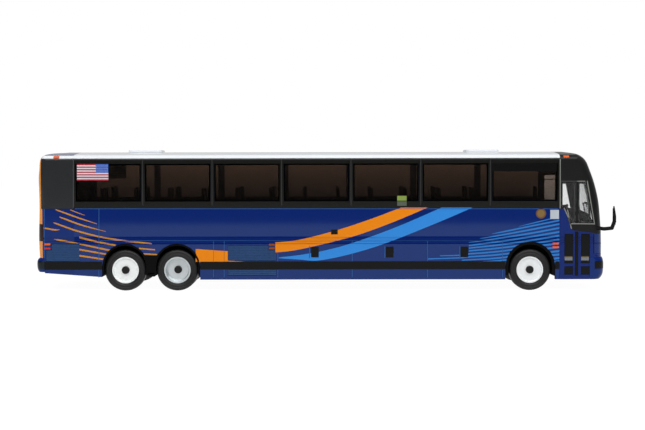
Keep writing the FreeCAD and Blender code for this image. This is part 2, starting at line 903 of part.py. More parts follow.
def make_engine_grille():
    depth = tail_skin_depth - fit_gap
    whole = tail_solid(0).common(rear_box(depth, fit_gap, engine_half, engine_low, engine_high))
    pitch = (engine_high - engine_low) / (engine_slots + 1)
    half = engine_half - engine_frame
    slots = []
    for i in range(engine_slots):
        z = engine_low + pitch * (i + 0.75)
        slots.append(box(rear_face - wall, rear_face + depth - rear_pocket / 2, -half, half,
                         z, z + pitch / 2))
    return whole.cut(slots).removeSplitter()


def make_tail_lamps():
    return loose(both_sides(tail_layer(rear_pocket - fit_gap, tail_lamp_zone(fit_gap))))


# Lamps on the roof edges
def roof_lamp_box(x, grow):
    low = band_top + roof_lamp_above_band
    return box(x - roof_lamp_half_length - grow, x + roof_lamp_half_length + grow,
               half_width - roof_lamp_width - grow, half_width + wall,
               low - grow, low + roof_lamp_height + grow)


def front_roof_lamp_box(grow):
    return roof_lamp_box(front_joint + front_roof_lamp_from_joint, grow)


def rear_roof_lamp_box(grow):
    return roof_lamp_box(rear_face + rear_roof_lamp_from_face, grow)


def make_roof_marker_lamps():
    skin = body_prism(-roof_lamp_proud, rear_face, front_face, roof_top / 2)
    return loose(mirrored_list([skin.common(front_roof_lamp_box(0)), skin.common(rear_roof_lamp_box(0))]))


def make_roof_hatches():
    hatches = []
    for x in hatch_stations:
        hatch = box(x - hatch_length / 2, x + hatch_length / 2, -hatch_width / 2, hatch_width / 2,
                    roof_top - wall, roof_top + hatch_height)
        upright = [edge for edge in hatch.Edges if abs(edge.tangentAt(0).z) > 0.9]
        hatch = hatch.makeFillet(hatch_height * 2, upright)
        top = [edge for edge in hatch.Edges if edge.BoundBox.ZMin > roof_top + hatch_height * 0.9]
        hatch = hatch.makeFillet(hatch_height * 0.6, top)
        hatches.append(hatch.cut(body_prism(-hatch_seam, rear_face, front_face, 0.0)))
    return loose(hatches)


# Mirrors
def tube(points, radius):
    pieces = []
    for a, b in zip(points, points[1:]):
        start = Vector(*a)
        run = Vector(*b) - start
        pieces.append(Part.makeCylinder(radius, run.Length, start, run))
        pieces.append(Part.makeSphere(radius, Vector(*b)))
    return joined(pieces)


def make_mirror():
    # The leaf-shaped head is turned a little towards the driver, so its inner edge leads.
    half_thick = mirror_head_thickness / 2
    half_wide = mirror_head_width / 2
    edge = mirror_head_thickness * 0.42
    turn = math.radians(mirror_turn)
    reach = (half_thick - edge) * math.cos(turn) + (half_wide - edge) * math.sin(turn) + edge
    head_x = front_face + mirror_lead - reach
    head_y = half_width + mirror_outreach - half_wide
    top = mirror_bottom + mirror_head_height
    head = box(-half_thick, half_thick, -half_wide, half_wide, mirror_bottom, top)
    head = head.makeFillet(edge, head.Edges)
    leaf = prism_y([
        (-half_thick, mirror_bottom), (half_thick * 0.6, mirror_bottom),
        (half_thick, mirror_bottom + mirror_head_height * 0.3),
        (half_thick, mirror_bottom + mirror_head_height * 0.45),
        (half_thick * 0.5, mirror_bottom + mirror_head_height * 0.75),
        (0, top), (-half_thick * 0.7, top), (-half_thick, mirror_bottom + mirror_head_height * 0.3),
    ], -half_wide, half_wide)
    head = head.common(leaf)
    head.rotate(Vector(0, 0, 0), Vector(0, 0, 1), mirror_turn)
    head.translate(Vector(head_x, head_y, 0))
    arm_z = mirror_bottom - mirror_arm_drop
    root, bend = mirror_arm_roots
    arm = tube([
        (front_face - root, half_width - wall, arm_z),
        (front_face - bend, half_width + mirror_arm_radius, arm_z - mirror_arm_radius / 2),
        (head_x - mirror_arm_radius, head_y - mirror_arm_radius, arm_z),
        (head_x, head_y, mirror_bottom + mirror_socket),
    ], mirror_arm_radius)
    arm = arm.cut(nose_solid(0))
    keep = [solid for solid in arm.Solids if solid.BoundBox.XMax > front_face]
    return joined([head] + keep)


# Cabin
def make_cabin_floor():
    floor = box(rear_joint + wall, front_joint + floor_front_overlap, -inner_y + fit_gap, inner_y - fit_gap,
                floor_bottom, floor_top)
    posts = [rod_z(x, 0, post_radius, plate_top, floor_bottom) for x in screw_stations]
    bores = [rod_z(x, 0, screw_radius + screw_clearance, plate_top - wall, floor_bottom - wall)
             for x in screw_stations]
    return joined([floor] + posts).cut(bores)


def seat_profile(x):
    # Side view of one seat: a cushion block and a leaning back.
    base = floor_top + seat_rail_height
    cushion_top = base + seat_cushion_height
    top = floor_top + seat_height - headrest_height
    back = seat_back_thickness
    lean = seat_back_lean * (top - cushion_top) / (floor_top + seat_height - cushion_top)
    return [
        (x, base), (x + seat_cushion_depth, base), (x + seat_cushion_depth, cushion_top),
        (x + back, cushion_top), (x + back * 0.85 - lean, top),
        (x - lean, top), (x, cushion_top),
    ]


def seat(x, low_y, high_y):
    # The headrest is narrower than the back and thinner towards its top.
    top = floor_top + seat_height
    foot = top - headrest_height - wall
    middle = x - seat_back_lean + headrest_thickness / 2
    quarter = headrest_thickness / 4
    headrest = prism_y([
        (middle, foot), (middle + 4 * quarter, foot), (middle + 3 * quarter, top - 2 * quarter),
        (middle + quarter, top), (middle - quarter, top), (middle - quarter, top - headrest_height * 0.6),
    ], low_y + headrest_side_gap, high_y - headrest_side_gap)
    return [prism_y(seat_profile(x), low_y, high_y), headrest]


def make_seats():
    # Two seats a row, on one rail that is glued to the floor.
    outer_y = inner_y - seat_side_gap
    inner_seat_y = outer_y - seat_width - seat_gap
    last = first_seat + seat_pitch * (seat_rows - 1) + seat_cushion_depth
    rail = box(first_seat, last, inner_seat_y - seat_width / 2, outer_y - seat_width / 4,
               floor_top, floor_top + seat_rail_height + wall / 2)
    pieces = [rail]
    for i in range(seat_rows):
        x = first_seat + seat_pitch * i
        pieces += seat(x, outer_y - seat_width, outer_y)
        pieces += seat(x, inner_seat_y - seat_width, inner_seat_y)
    return joined(pieces)


def make_driver_seat():
    x = front_joint + driver_seat_station
    half = driver_seat_width / 2
    pieces = seat(x, driver_y - half, driver_y + half)
    foot = box(x + wall, x + seat_cushion_depth - wall, driver_y - half / 2, driver_y + half / 2,
               floor_top, floor_top + seat_rail_height + wall / 2)
    return joined(pieces + [foot])


def make_dashboard():
    # A flat shelf behind the windscreen, and a hood over the instruments that is highest at its back.
    heights = [floor_top + height for height in dashboard_heights]
    front_high, shelf_high, hood_front_high, hood_back_high = heights
    side = inner_y - dashboard_side_gap
    back_x = front_joint + dashboard_station
    step_x = back_x + dashboard_hood_length
    front_x = front_face - dashboard_nose_back - end_bow - wall - dashboard_front_gap
    shape = prism_y([
        (back_x, floor_top), (front_x, floor_top), (front_x, front_high), (step_x, shelf_high),
        (step_x, hood_front_high), (back_x, hood_back_high),
    ], -side, side)
    shelf = box(back_x - wall, back_x + wall, -side, side, floor_bottom - wall, floor_top)
    shelf = shelf.cut(box(0, front_joint + floor_front_overlap + fit_gap, -half_width, half_width,
                          floor_bottom - fit_gap, floor_top))
    return joined([shape, shelf])


def make_steering_wheel():
    centre = Vector(front_joint + steering_station, driver_y, floor_top + steering_height)
    run = Vector(column_run, 0, -column_drop)
    cross = Vector(0, 1, 0)
    ring = Part.makeTorus(steering_radius, steering_rim_radius, centre, run)
    spoke = Part.makeCylinder(steering_spoke_radius, 2 * steering_radius,
                              centre - cross * steering_radius, cross)
    column = Part.makeCylinder(steering_column_radius, run.Length, centre, run)
    return joined([ring, spoke, column]).cut(make_dashboard())


# Chassis
def sill_slope_z(x):
    # Height of the rising rear sill at a station.
    start_x = tag_axle_x - rear_arch_radius
    share = (start_x - x) / (start_x - rear_face)
    return skirt_bottom + rear_sill_start + max(share, 0) * (rear_sill_rise - rear_sill_start)


def wheel_clear_boxes(axle_x, arch):
    radius = arch[0] + fit_gap
    return [box(axle_x - radius, axle_x + radius, side * spine_half_width if side > 0 else -half_width,
                half_width if side > 0 else side * spine_half_width, 0, roof_top) for side in (-1, 1)]


def make_chassis_plate():
    side = inner_y - fit_gap
    tail_side = side - rear_pocket - fit_gap
    rear_x = tag_axle_x - rear_arch_radius
    plate = box(rear_x, front_face - front_bumper_return, -side, side, plate_bottom, plate_top)
    tail_x = rear_face + rear_bumper_return + wall
    tail_z = sill_slope_z(tail_x) + tail_plate_rise
    tail = prism_y([(rear_x + wall, plate_bottom), (rear_x + wall, plate_top + tail_plate_rise),
                    (tail_x, tail_z + plate_thickness), (tail_x, tail_z), (rear_x, plate_bottom)],
                   -tail_side, tail_side)
    parts = [plate, tail]
    bearing_y = spine_half_width - bearing_width / 2 - bearing_edge_gap
    for x in (front_axle_x, drive_axle_x, tag_axle_x):
        for y in (-bearing_y, bearing_y):
            parts.append(box(x - bearing_half_length, x + bearing_half_length, y - bearing_width / 2,
                             y + bearing_width / 2, plate_bottom, bearing_top))
    for x in display_hole_stations:
        parts.append(rod_z(x, 0, display_boss_radius, plate_bottom, plate_bottom + display_boss_height))
    plate = joined(parts)
    cuts = []
    for x, arch in wheel_arches:
        cuts += wheel_clear_boxes(x, arch)
        cuts.append(rod_y(x, axle_z, axle_radius + axle_clearance, -spine_half_width, spine_half_width))
    for x in screw_stations:
        cuts.append(rod_z(x, 0, screw_radius + screw_clearance, 0, bearing_top))
    for x in display_hole_stations:
        cuts.append(rod_z(x, 0, display_hole_radius, 0, bearing_top))
    return plate.cut(cuts).removeSplitter()


def make_base_screws():
    screws = []
    for x in screw_stations:
        head = rod_z(x, 0, screw_head_radius, plate_bottom - screw_head_height, plate_bottom)
        shank = rod_z(x, 0, screw_radius, plate_bottom - screw_head_height, floor_bottom - 2 * wall)
        slot = box(x - screw_head_radius, x + screw_head_radius, -screw_slot_half_width,
                   screw_slot_half_width, 0, plate_bottom - screw_head_height / 2)
        screws.append(joined([head, shank]).cut(slot))
    return loose(screws)


# Wheels
def ring_about_axle(profile, axle_x):
    # Turns a closed outline of radius and distance from the middle about the axle.
    wire = Part.makePolygon([Vector(axle_x + r, y, axle_z) for r, y in profile + profile[:1]])
    return Part.Face(wire).revolve(Vector(axle_x, 0, axle_z), Vector(0, 1, 0), 360)


def facet_ring(axle_x, y, radius):
    # A many-sided outline about an axle.
    turns = [2 * math.pi * i / tyre_facets for i in range(tyre_facets)]
    points = [Vector(axle_x + radius * math.cos(turn), y, axle_z + radius * math.sin(turn)) for turn in turns]
    return Part.makePolygon(points + points[:1])


def make_tyre(axle_x, outer_y):
    # A smooth tyre with rounded shoulders, bulged side walls and a straight seat for the rim.
    tread = tyre_diameter / 2
    inner_y_here = outer_y - tyre_width
    wall_height = tread - rim_radius
    sections = [
        (inner_y_here, rim_radius + wall_height * 0.6), (inner_y_here + tyre_width * 0.05, tread * 0.94),
        (inner_y_here + tyre_width * 0.2, tread), (outer_y - tyre_width * 0.24, tread),
        (outer_y - tyre_width * 0.12, tread * 0.982), (outer_y - tyre_width * 0.04, tread * 0.935),
        (outer_y, rim_radius + wall_height * 0.55),
        (outer_y - tyre_width * 0.05, rim_radius + wall_height * 0.15),
    ]
    outer = Part.makeLoft([facet_ring(axle_x, y, radius) for y, radius in sections], True, True)
    corner_radius = rim_radius / math.cos(math.pi / tyre_facets)
    seat = Part.Face(facet_ring(axle_x, inner_y_here - wall, corner_radius))
    return outer.cut(seat.extrude(Vector(0, tyre_width + 2 * wall, 0)))


def make_wheel(axle_x, outer_y, width, dish):
    # A turned disc with a rim lip and a dished face.
    face_y = outer_y - wheel_recess
    seat = rim_radius - rim_fit
    lip = seat - rim_lip
    return ring_about_axle([
        (axle_radius, face_y - width), (seat, face_y - width), (seat, face_y), (lip, face_y),
        (lip - dish * rim_shoulder, face_y - dish), (axle_radius, face_y - dish),
    ], axle_x)


def make_axle(axle_x, dish):
    # A steel rod with a turned cap at each end, seated against the discs.
    face_y = tyre_outer_y - wheel_recess - dish
    end_y = face_y + hub_cap_proud
    rod = rod_y(axle_x, axle_z, axle_radius, -face_y, face_y)
    caps = []
    for side in (-1, 1):
        cap = Part.makeCylinder(hub_cap_radius, hub_cap_proud, Vector(axle_x, side * face_y, axle_z),
                                Vector(0, side, 0))
        rim = [edge for edge in cap.Edges if abs(edge.BoundBox.YMin - side * end_y) < rim_fit
               and edge.BoundBox.YLength < rim_fit]
        caps.append(cap.makeFillet(hub_cap_proud * 0.35, rim))
    return joined([rod] + caps)


def wheel_set(name, axle_x, twin, dish):
    rim_width = tyre_width - 2 * wheel_recess
    tyres = [make_tyre(axle_x, tyre_outer_y)]
    if twin:
        rim_width += tyre_width + twin_gap
        tyres.append(make_tyre(axle_x, tyre_outer_y - tyre_width - twin_gap))
    wheel = make_wheel(axle_x, tyre_outer_y, rim_width, dish)
    save(name + "_axle_rod", make_axle(axle_x, dish))
    for side in ("left", "right"):
        turn = mirrored if side == "right" else Part.Shape.copy
        save(name + "_wheel_" + side, turn(wheel))
        save(name + "_tyre_" + side, loose([turn(tyre) for tyre in tyres]))


def main():
    save("body_shell", make_body_shell())
    save("front_cap", make_front_cap())
    save("rear_cap", make_rear_cap())
    save("front_bumper", make_front_bumper())
    save("bumper_inserts", make_bumper_inserts())
    save("rear_bumper", make_rear_bumper())
    save("rear_quarter_panels", make_rear_quarter_panels())
    save("rear_window", make_rear_window())
    save("engine_grille", make_engine_grille())
    save("tail_lamps", make_tail_lamps())
    save("roof_hatches", make_roof_hatches())
    save("roof_marker_lamps", make_roof_marker_lamps())

    band = make_window_band()
    panes = make_window_panes()
    save("window_band_left", band)
    save("window_band_right", mirrored(band))
    save("window_panes_left", panes)
    save("window_panes_right", mirrored(panes))

    save("windscreen", loose(glazing(mirrored_list([windscreen_prism(fit_gap)]))))
    save("cab_side_glass", loose(glazing(side_glass_pair(fit_gap))))
    save("sign_glass", loose(glazing([sign_prism(fit_gap)])))
    save("headlamps", loose(glazing(mirrored_list([headlamp_prism(fit_gap)]))))
    save("door_inserts", loose(door_insert_boxes(0, half_width - fit_gap)))
    save("wipers", make_wipers())
    mirror = make_mirror()
    save("mirror_left", mirror)
    save("mirror_right", mirrored(mirror))

    save("rub_strips", loose(mirrored_list(make_rub_strips())))
    save("side_marker_lamps", loose(mirrored_list(lamp_boxes(0, half_width + lamp_proud))))
    save("luggage_latches", loose(mirrored_list(latch_boxes(0, half_width + latch_proud))))
    save("side_grilles", loose(mirrored_list(make_side_grilles())))

    front_trim = arch_trim([front_axle_x], front_arch, front_arch_band, front_well, False)
    rear_trim = arch_trim([drive_axle_x, tag_axle_x], rear_arch, rear_arch_band, twin_well, True)
    save("arch_trim_front_left", front_trim)
    save("arch_trim_front_right", mirrored(front_trim))
    save("arch_trim_rear_left", rear_trim)
    save("arch_trim_rear_right", mirrored(rear_trim))

    save("chassis_plate", make_chassis_plate())
    save("base_screws", make_base_screws())
    save("cabin_floor", make_cabin_floor())
    seats = make_seats()
    save("seats_left", seats)
    save("seats_right", mirrored(seats))
    save("driver_seat", make_driver_seat())
    save("dashboard", make_dashboard())
    save("steering_wheel", make_steering_wheel())

    wheel_set("front", front_axle_x, False, dish_depth)
    wheel_set("drive", drive_axle_x, True, drive_dish_depth)
    wheel_set("tag", tag_axle_x, False, dish_depth)


main()
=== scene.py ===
# %% [markdown]
# A small die-cast coach bus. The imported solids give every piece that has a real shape: shell, caps, glass,
# wheels and seats. This lesson dresses them with finishes, and adds what is printed on, glued on or too
# fine for a solid.

import json
import math

import bmesh
import bpy
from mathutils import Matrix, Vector


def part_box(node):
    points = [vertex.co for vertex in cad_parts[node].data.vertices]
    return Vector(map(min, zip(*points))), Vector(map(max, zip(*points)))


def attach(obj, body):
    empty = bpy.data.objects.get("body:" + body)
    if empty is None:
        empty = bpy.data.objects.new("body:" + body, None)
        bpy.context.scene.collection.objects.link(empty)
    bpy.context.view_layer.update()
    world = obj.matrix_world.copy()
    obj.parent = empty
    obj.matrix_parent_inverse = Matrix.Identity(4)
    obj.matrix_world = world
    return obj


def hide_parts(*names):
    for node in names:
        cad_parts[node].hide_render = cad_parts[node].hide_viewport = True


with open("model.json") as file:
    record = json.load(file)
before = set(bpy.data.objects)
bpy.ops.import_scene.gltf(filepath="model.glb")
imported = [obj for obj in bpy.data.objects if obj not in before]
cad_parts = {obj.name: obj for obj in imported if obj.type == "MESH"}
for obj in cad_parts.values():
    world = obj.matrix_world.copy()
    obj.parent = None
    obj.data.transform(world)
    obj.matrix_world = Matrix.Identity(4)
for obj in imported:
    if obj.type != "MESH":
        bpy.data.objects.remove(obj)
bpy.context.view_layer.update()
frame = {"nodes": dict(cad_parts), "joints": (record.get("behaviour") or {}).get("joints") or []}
nodes = frame["nodes"]
MM = 0.001

# %% [markdown]
# Everything that is added sits on the solids, so its places are read from them. Lengths are in millimetres
# here, and one factor turns them to metres when a mesh is made.

# %% Places read from the solids
half_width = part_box("body_shell")[1].y / MM
rear_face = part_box("rear_bumper")[0].x / MM
front_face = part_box("front_bumper")[1].x / MM
roof_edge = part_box("window_band_right")[1].z / MM
roof_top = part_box("body_shell")[1].z / MM
axles = {joint["name"].split("_")[0]: joint["pos_m"][0] / MM for joint in frame["joints"]}
axle_z = frame["joints"][0]["pos_m"][2] / MM
print("half width", round(half_width, 2), "axles", {name: round(x, 2) for name, x in axles.items()})

# %% [markdown]
# The camera stands where the photographer stood: level with the roof edge and about a third of a metre
# away, tipped down by under three degrees. That gives the strong perspective of a small object.

# %% Camera
IMAGE_WIDTH = 645
IMAGE_HEIGHT = 430
FOCAL_PIXELS = 1205
SENSOR = 36.0
CAMERA_PLACE = (1.175, -347.9, 37.1)
camera_data = bpy.data.cameras.new("camera")
camera_data.sensor_width = SENSOR
camera_data.lens = FOCAL_PIXELS * SENSOR / IMAGE_WIDTH
camera_data.clip_start = 0.01
camera = bpy.data.objects.new("camera", camera_data)
camera.location = Vector(CAMERA_PLACE) * MM
camera.rotation_euler = (math.radians(90 - 2.756), math.radians(0.1), math.radians(0.26))
bpy.context.scene.collection.objects.link(camera)
bpy.context.scene.camera = camera
bpy.context.scene.view_settings.view_transform = "Standard"
print("lens", round(camera_data.lens, 2), "mm, camera at", CAMERA_PLACE)

# %% [markdown]
# The prints were measured in the photograph, in its pixels. A ray from the camera through a pixel meets the
# flat side of the coach at the place that the pixel shows.

# %% From pixel to side wall
eye = Vector(CAMERA_PLACE)
turn = camera.rotation_euler.to_matrix()


def on_side(px, py):
    """The place (x, z) in millimetres where the ray through a pixel meets the near side."""
    ray = turn @ Vector(((px - IMAGE_WIDTH / 2) / FOCAL_PIXELS, (IMAGE_HEIGHT / 2 - py) / FOCAL_PIXELS, -1.0))
    reach = (-half_width - eye.y) / ray.y
    place = eye + ray * reach
    return place.x, place.z


print("pixel (300, 200) is at", [round(v, 2) for v in on_side(300, 200)])

# %% [markdown]
# The caps turn inwards at their ends with a round corner, and the nose leans back. Prints have to follow
# that, so one function gives the outer face of the side at any place.

# %% The outer face of the side
NOSE_CORNER = 3.0
TAIL_CORNER = 2.0
BOW = 0.6
TAIL_BACK = 0.75
NOSE = [(0.078, 0.85), (0.13, 0.75), (0.234, 0.68), (0.325, 0.68), (0.41, 0.75), (0.525, 1.08), (0.639, 1.54),
        (0.727, 2.26), (0.813, 3.25), (0.883, 4.28), (0.93, 5.1), (0.958, 6.05), (0.984, 7.9), (1.003, 11.2)]


def between(value, pairs):
    """Reads a list of (place, value) pairs with straight lines between them."""
    for (place_a, value_a), (place_b, value_b) in zip(pairs, pairs[1:]):
        if value <= place_b:
            share = max((value - place_a) / (place_b - place_a), 0.0)
            return value_a + share * (value_b - value_a)
    return pairs[-1][1]


def face_y(x, z):
    """Distance of the outer face of the side from the middle of the coach."""
    rear_turn = rear_face + TAIL_BACK + BOW + TAIL_CORNER
    front_turn = front_face - between(z / roof_top, NOSE) - BOW - NOSE_CORNER
    corner = TAIL_CORNER if x < rear_turn else NOSE_CORNER
    past = max(rear_turn - x, x - front_turn, 0.0)
    past = min(past, corner * 0.98)
    return half_width - corner + math.sqrt(corner ** 2 - past ** 2)


print("face at the middle", face_y(0, 20), "near the tail", round(face_y(-78, 20), 3))

# %% [markdown]
# A finish starts as a node tree. Its colours are written as sRGB hex codes, as a paint card gives them, and
# one function turns them to the linear values that shaders work in. One small function adds a node, sets it
# and links its inputs, so that each finish below reads from top to bottom like a recipe.


# %% Colours and nodes
def linear(hex_code):
    """An sRGB hex colour as the linear RGBA that shaders work in."""
    values = [int(hex_code[i:i + 2], 16) / 255 for i in (1, 3, 5)]
    return tuple(v / 12.92 if v <= 0.04045 else ((v + 0.055) / 1.055) ** 2.4 for v in values) + (1.0,)


def add(tree, kind, inputs=None, **settings):
    """Adds one node. Inputs take a value, or the output socket of another node."""
    node = tree.nodes.new("ShaderNode" + kind)
    for name, value in settings.items():
        setattr(node, name, value)
    for name, value in (inputs or {}).items():
        if isinstance(value, bpy.types.NodeSocket):
            tree.links.new(value, node.inputs[name])
        else:
            node.inputs[name].default_value = value
    return node


print("mid grey in linear light:", round(linear("#808080")[0], 3))

# %% [markdown]
# Paint, plastic, glass and metal all come from one Principled shader. A value that is the same all over a
# surface is set on the shader's own socket, so that the exported model keeps it.


# %% A new finish
def new_finish(name, hex_code, roughness, **sockets):
    """A material with its Principled shader set; patterns and relief are linked later."""
    material = bpy.data.materials.new(name)
    material.use_nodes = True
    shader = material.node_tree.nodes["Principled BSDF"]
    shader.inputs["Base Color"].default_value = linear(hex_code)
    shader.inputs["Roughness"].default_value = roughness
    for socket, value in sockets.items():
        shader.inputs[socket.replace("_", " ")].default_value = value
    material.diffuse_color = linear(hex_code)
    return material, material.node_tree, shader


# %% [markdown]
# No moulded or sprayed surface is perfectly even. A slow noise lets its colour drift, and a fine one gives
# it a grain some thousandths of a millimetre high. Both are tied to the piece and sized in millimetres.
# Real displacement would cost many faces for so little height, so the grain is a bump that only bends the
# light.


# %% Drift, relief and grain
def varied(tree, shader, base, size_mm, amount):
    """Lets the base colour drift a little lighter and darker over the surface."""
    place = add(tree, "TexCoord").outputs["Object"]
    drift = add(tree, "TexNoise", {"Vector": place, "Scale": 1 / (size_mm * MM), "Detail": 3.0})
    value = add(tree, "MapRange", {"Value": drift.outputs["Fac"], "To Min": 1 - amount, "To Max": 1 + amount})
    tinted = add(tree, "HueSaturation", {"Color": base, "Value": value.outputs["Result"]})
    tree.links.new(tinted.outputs["Color"], shader.inputs["Base Color"])


def relief(tree, shader, height, depth_mm, strength=1.0):
    """Raises the surface by a height from 0 to 1, depth_mm deep, over any relief that is there already."""
    node = add(tree, "Bump", {"Height": height, "Distance": depth_mm * MM, "Strength": strength})
    for link in shader.inputs["Normal"].links:
        tree.links.new(link.from_socket, node.inputs["Normal"])
    tree.links.new(node.outputs["Normal"], shader.inputs["Normal"])


def grain(tree, shader, size_mm, depth_mm, strength, detail=2.0):
    """A noise relief whose blotches are about size_mm across."""
    place = add(tree, "TexCoord").outputs["Object"]
    blotches = add(tree, "TexNoise", {"Vector": place, "Scale": 1 / (size_mm * MM), "Detail": detail})
    relief(tree, shader, blotches.outputs["Fac"], depth_mm, strength)


# %% [markdown]
# On the model, colours meet along masked edges. Here the same is done with the place on the piece: a mask
# is 1 between two heights or lengths, and one colour is laid over another there. An image could do this
# too, but a mask needs no file and stays sharp from any distance.


# %% Masks and paint
def coordinate(tree):
    """The place on the piece, split into x, y and z in metres."""
    place = add(tree, "TexCoord").outputs["Object"]
    return add(tree, "SeparateXYZ", {"Vector": place}).outputs


def mask(tree, value, low_mm=None, high_mm=None, within=None):
    """1 where a coordinate lies between two limits, and inside another mask if there is one; 0 elsewhere."""
    parts = [within] if within else []
    if low_mm is not None:
        parts.append(add(tree, "Math", {0: value, 1: low_mm * MM}, operation="GREATER_THAN").outputs[0])
    if high_mm is not None:
        parts.append(add(tree, "Math", {0: value, 1: high_mm * MM}, operation="LESS_THAN").outputs[0])
    result = parts[0]
    for part in parts[1:]:
        result = add(tree, "Math", {0: result, 1: part}, operation="MULTIPLY").outputs[0]
    return result


def painted_over(tree, under, hex_code, where):
    """A colour laid over another where a mask is 1."""
    mix = add(tree, "Mix", {"Factor": where, "A": under, "B": linear(hex_code)}, data_type="RGBA")
    return mix.outputs["Result"]


# %% [markdown]
# The body is cast zinc under glossy enamel. Enamel levels into a smooth film with a faint orange peel,
# about a third of a millimetre across, and its gloss shows the pale floor below and the dark room above.
# The moulded strip round the side crease leans back a little, so it shows the dark room as well.

# %% Enamel on the cast body
BLUE = "#0E266B"
ORANGE_PEEL = 0.35
LEAN_LOW = 12.95
LEAN_HIGH = 15.15
LEAN_DEPTH = 0.05
GLOSS_TINT = (0.65, 0.9, 1.0, 1.0)
PLAIN_TINT = (1.0, 1.0, 1.0, 1.0)


def enamel(name, pattern, roughness=0.05, level=0.35, tint=GLOSS_TINT, lean_depth=0.0):
    """Enamel; pattern builds the painted colours from the place on the piece."""
    material, tree, shader = new_finish(name, BLUE, roughness, IOR=1.5, Specular_IOR_Level=level,
                                        Specular_Tint=tint)
    varied(tree, shader, pattern(tree), 9.0, 0.03)
    if lean_depth:
        lean = add(tree, "MapRange", {"Value": coordinate(tree)["Z"], "From Min": LEAN_LOW * MM,
                                      "From Max": LEAN_HIGH * MM, "To Min": 1.0, "To Max": 0.0})
        relief(tree, shader, lean.outputs["Result"], lean_depth)
    grain(tree, shader, ORANGE_PEEL, 0.003, 0.1)
    return material


# %% [markdown]
# Every casting is sprayed blue first, and the other colours follow through masks. The body gets a white
# roof. The tail gets a white strip above the windows and an orange end. The nose gets a black mask.

# %% Painted patterns
ROOF_WHITE = "#F0F3F8"
TAIL_ORANGE = "#F0962A"
MASK_BLACK = "#19191A"
TAIL_STRIP = 0.85
ORANGE_LENGTH = 2.55
ORANGE_LOW = 9.0
ORANGE_ABOVE_WINDOWS = 0.7
NOSE_MASK_PIXELS = [(564.3, 208.9), (571.4, 230.1), (600, 233.9)]


def body_pattern(tree):
    return painted_over(tree, linear(BLUE), ROOF_WHITE, mask(tree, coordinate(tree)["Z"], roof_edge))


def tail_pattern(tree):
    place = coordinate(tree)
    strip = mask(tree, place["Z"], roof_edge, roof_edge + TAIL_STRIP)
    painted = painted_over(tree, linear(BLUE), ROOF_WHITE, strip)
    behind = mask(tree, place["X"], None, rear_face + ORANGE_LENGTH)
    end = mask(tree, place["Z"], ORANGE_LOW, roof_edge + ORANGE_ABOVE_WINDOWS, within=behind)
    return painted_over(tree, painted, TAIL_ORANGE, end)


def nose_pattern(tree):
    """The edge of the black mask drops over the door in two slants, through three measured pixels."""
    place = coordinate(tree)
    corners = [on_side(*pixel) for pixel in NOSE_MASK_PIXELS]
    falls = []
    for (x0, z0), (x1, z1) in zip(corners, corners[1:]):
        fall = add(tree, "MapRange", {"Value": place["X"], "From Min": x0 * MM, "From Max": x1 * MM,
                                      "To Min": 0.0, "To Max": (z0 - z1) * MM})
        falls.append(fall.outputs["Result"])
    drop = add(tree, "Math", {0: falls[0], 1: falls[1]}, operation="ADD")
    edge = add(tree, "Math", {0: corners[0][1] * MM, 1: drop.outputs[0]}, operation="SUBTRACT")
    above = add(tree, "Math", {0: place["Z"], 1: edge.outputs[0]}, operation="GREATER_THAN")
    return painted_over(tree, linear(BLUE), MASK_BLACK, above.outputs[0])


body_enamel = enamel("blue enamel on cast zinc", body_pattern, lean_depth=LEAN_DEPTH)
tail_enamel = enamel("enamel on the cast tail", tail_pattern, roughness=0.12, level=0.27)
nose_enamel = enamel("enamel on the cast nose", nose_pattern, roughness=0.3, level=0.2, tint=PLAIN_TINT)
print("enamels:", body_enamel.name, tail_enamel.name, nose_enamel.name)

# %% [markdown]
# Bumpers are injection moulded ABS, sprayed to match. The rear one carries on the black rub strip.

# %% Sprayed ABS bumpers
STRIP_BLACK = "#161617"
STRIP_LOW = 6.2
STRIP_HIGH = 8.3


def sprayed_abs(name, black_band):
    material, tree, shader = new_finish(name, BLUE, 0.15, IOR=1.5, Specular_IOR_Level=0.25,
                                        Specular_Tint=GLOSS_TINT)
    painted = linear(BLUE)
    if black_band:
        strip = mask(tree, coordinate(tree)["Z"], STRIP_LOW, STRIP_HIGH)
        painted = painted_over(tree, painted, STRIP_BLACK, strip)
    varied(tree, shader, painted, 6.0, 0.05)
    grain(tree, shader, ORANGE_PEEL, 0.004, 0.5)
    return material


front_bumper_paint = sprayed_abs("sprayed ABS front bumper", False)
rear_bumper_paint = sprayed_abs("sprayed ABS rear bumper", True)
print("bumpers:", front_bumper_paint.name, rear_bumper_paint.name)

# %% [markdown]
# Small black trim is moulded ABS with a fine spark-eroded grain, which takes most of its gloss: the wheel
# arch liners look nearly matt, the door panes have a slight sheen. The window band is a glossy black print
# whose pillars carry a raised bead, found by how far it stands out; on the band the bead is painted a lighter
# grey as a highlight.

# %% Black plastics
BEAD_PROUD = 0.04


def moulded_abs(name, hex_code, roughness, grain_mm, gloss=0.2):
    material, tree, shader = new_finish(name, hex_code, roughness, IOR=1.53, Specular_IOR_Level=gloss)
    varied(tree, shader, linear(hex_code), 4.0, 0.12)
    grain(tree, shader, grain_mm, 0.01, 0.5, 4.0)
    return material


trim_abs = moulded_abs("moulded black ABS trim", "#121213", 0.4, 0.12, 0.12)
liner_abs = moulded_abs("matt black wheel arch liner", "#0B0B0B", 0.7, 0.2, 0.05)
chassis_abs = moulded_abs("moulded ABS chassis", "#0F0F10", 0.6, 0.2, 0.08)
cabin_abs = moulded_abs("moulded ABS cabin", "#1F1F21", 0.6, 0.2)
seat_abs = moulded_abs("moulded ABS seats", "#191A1E", 0.6, 0.3)
pin_steel = moulded_abs("black oxide steel pin", "#101011", 0.35, 0.15, 0.25)
door_print = moulded_abs("black door pane print", "#151617", 0.2, 0.4, 0.08)


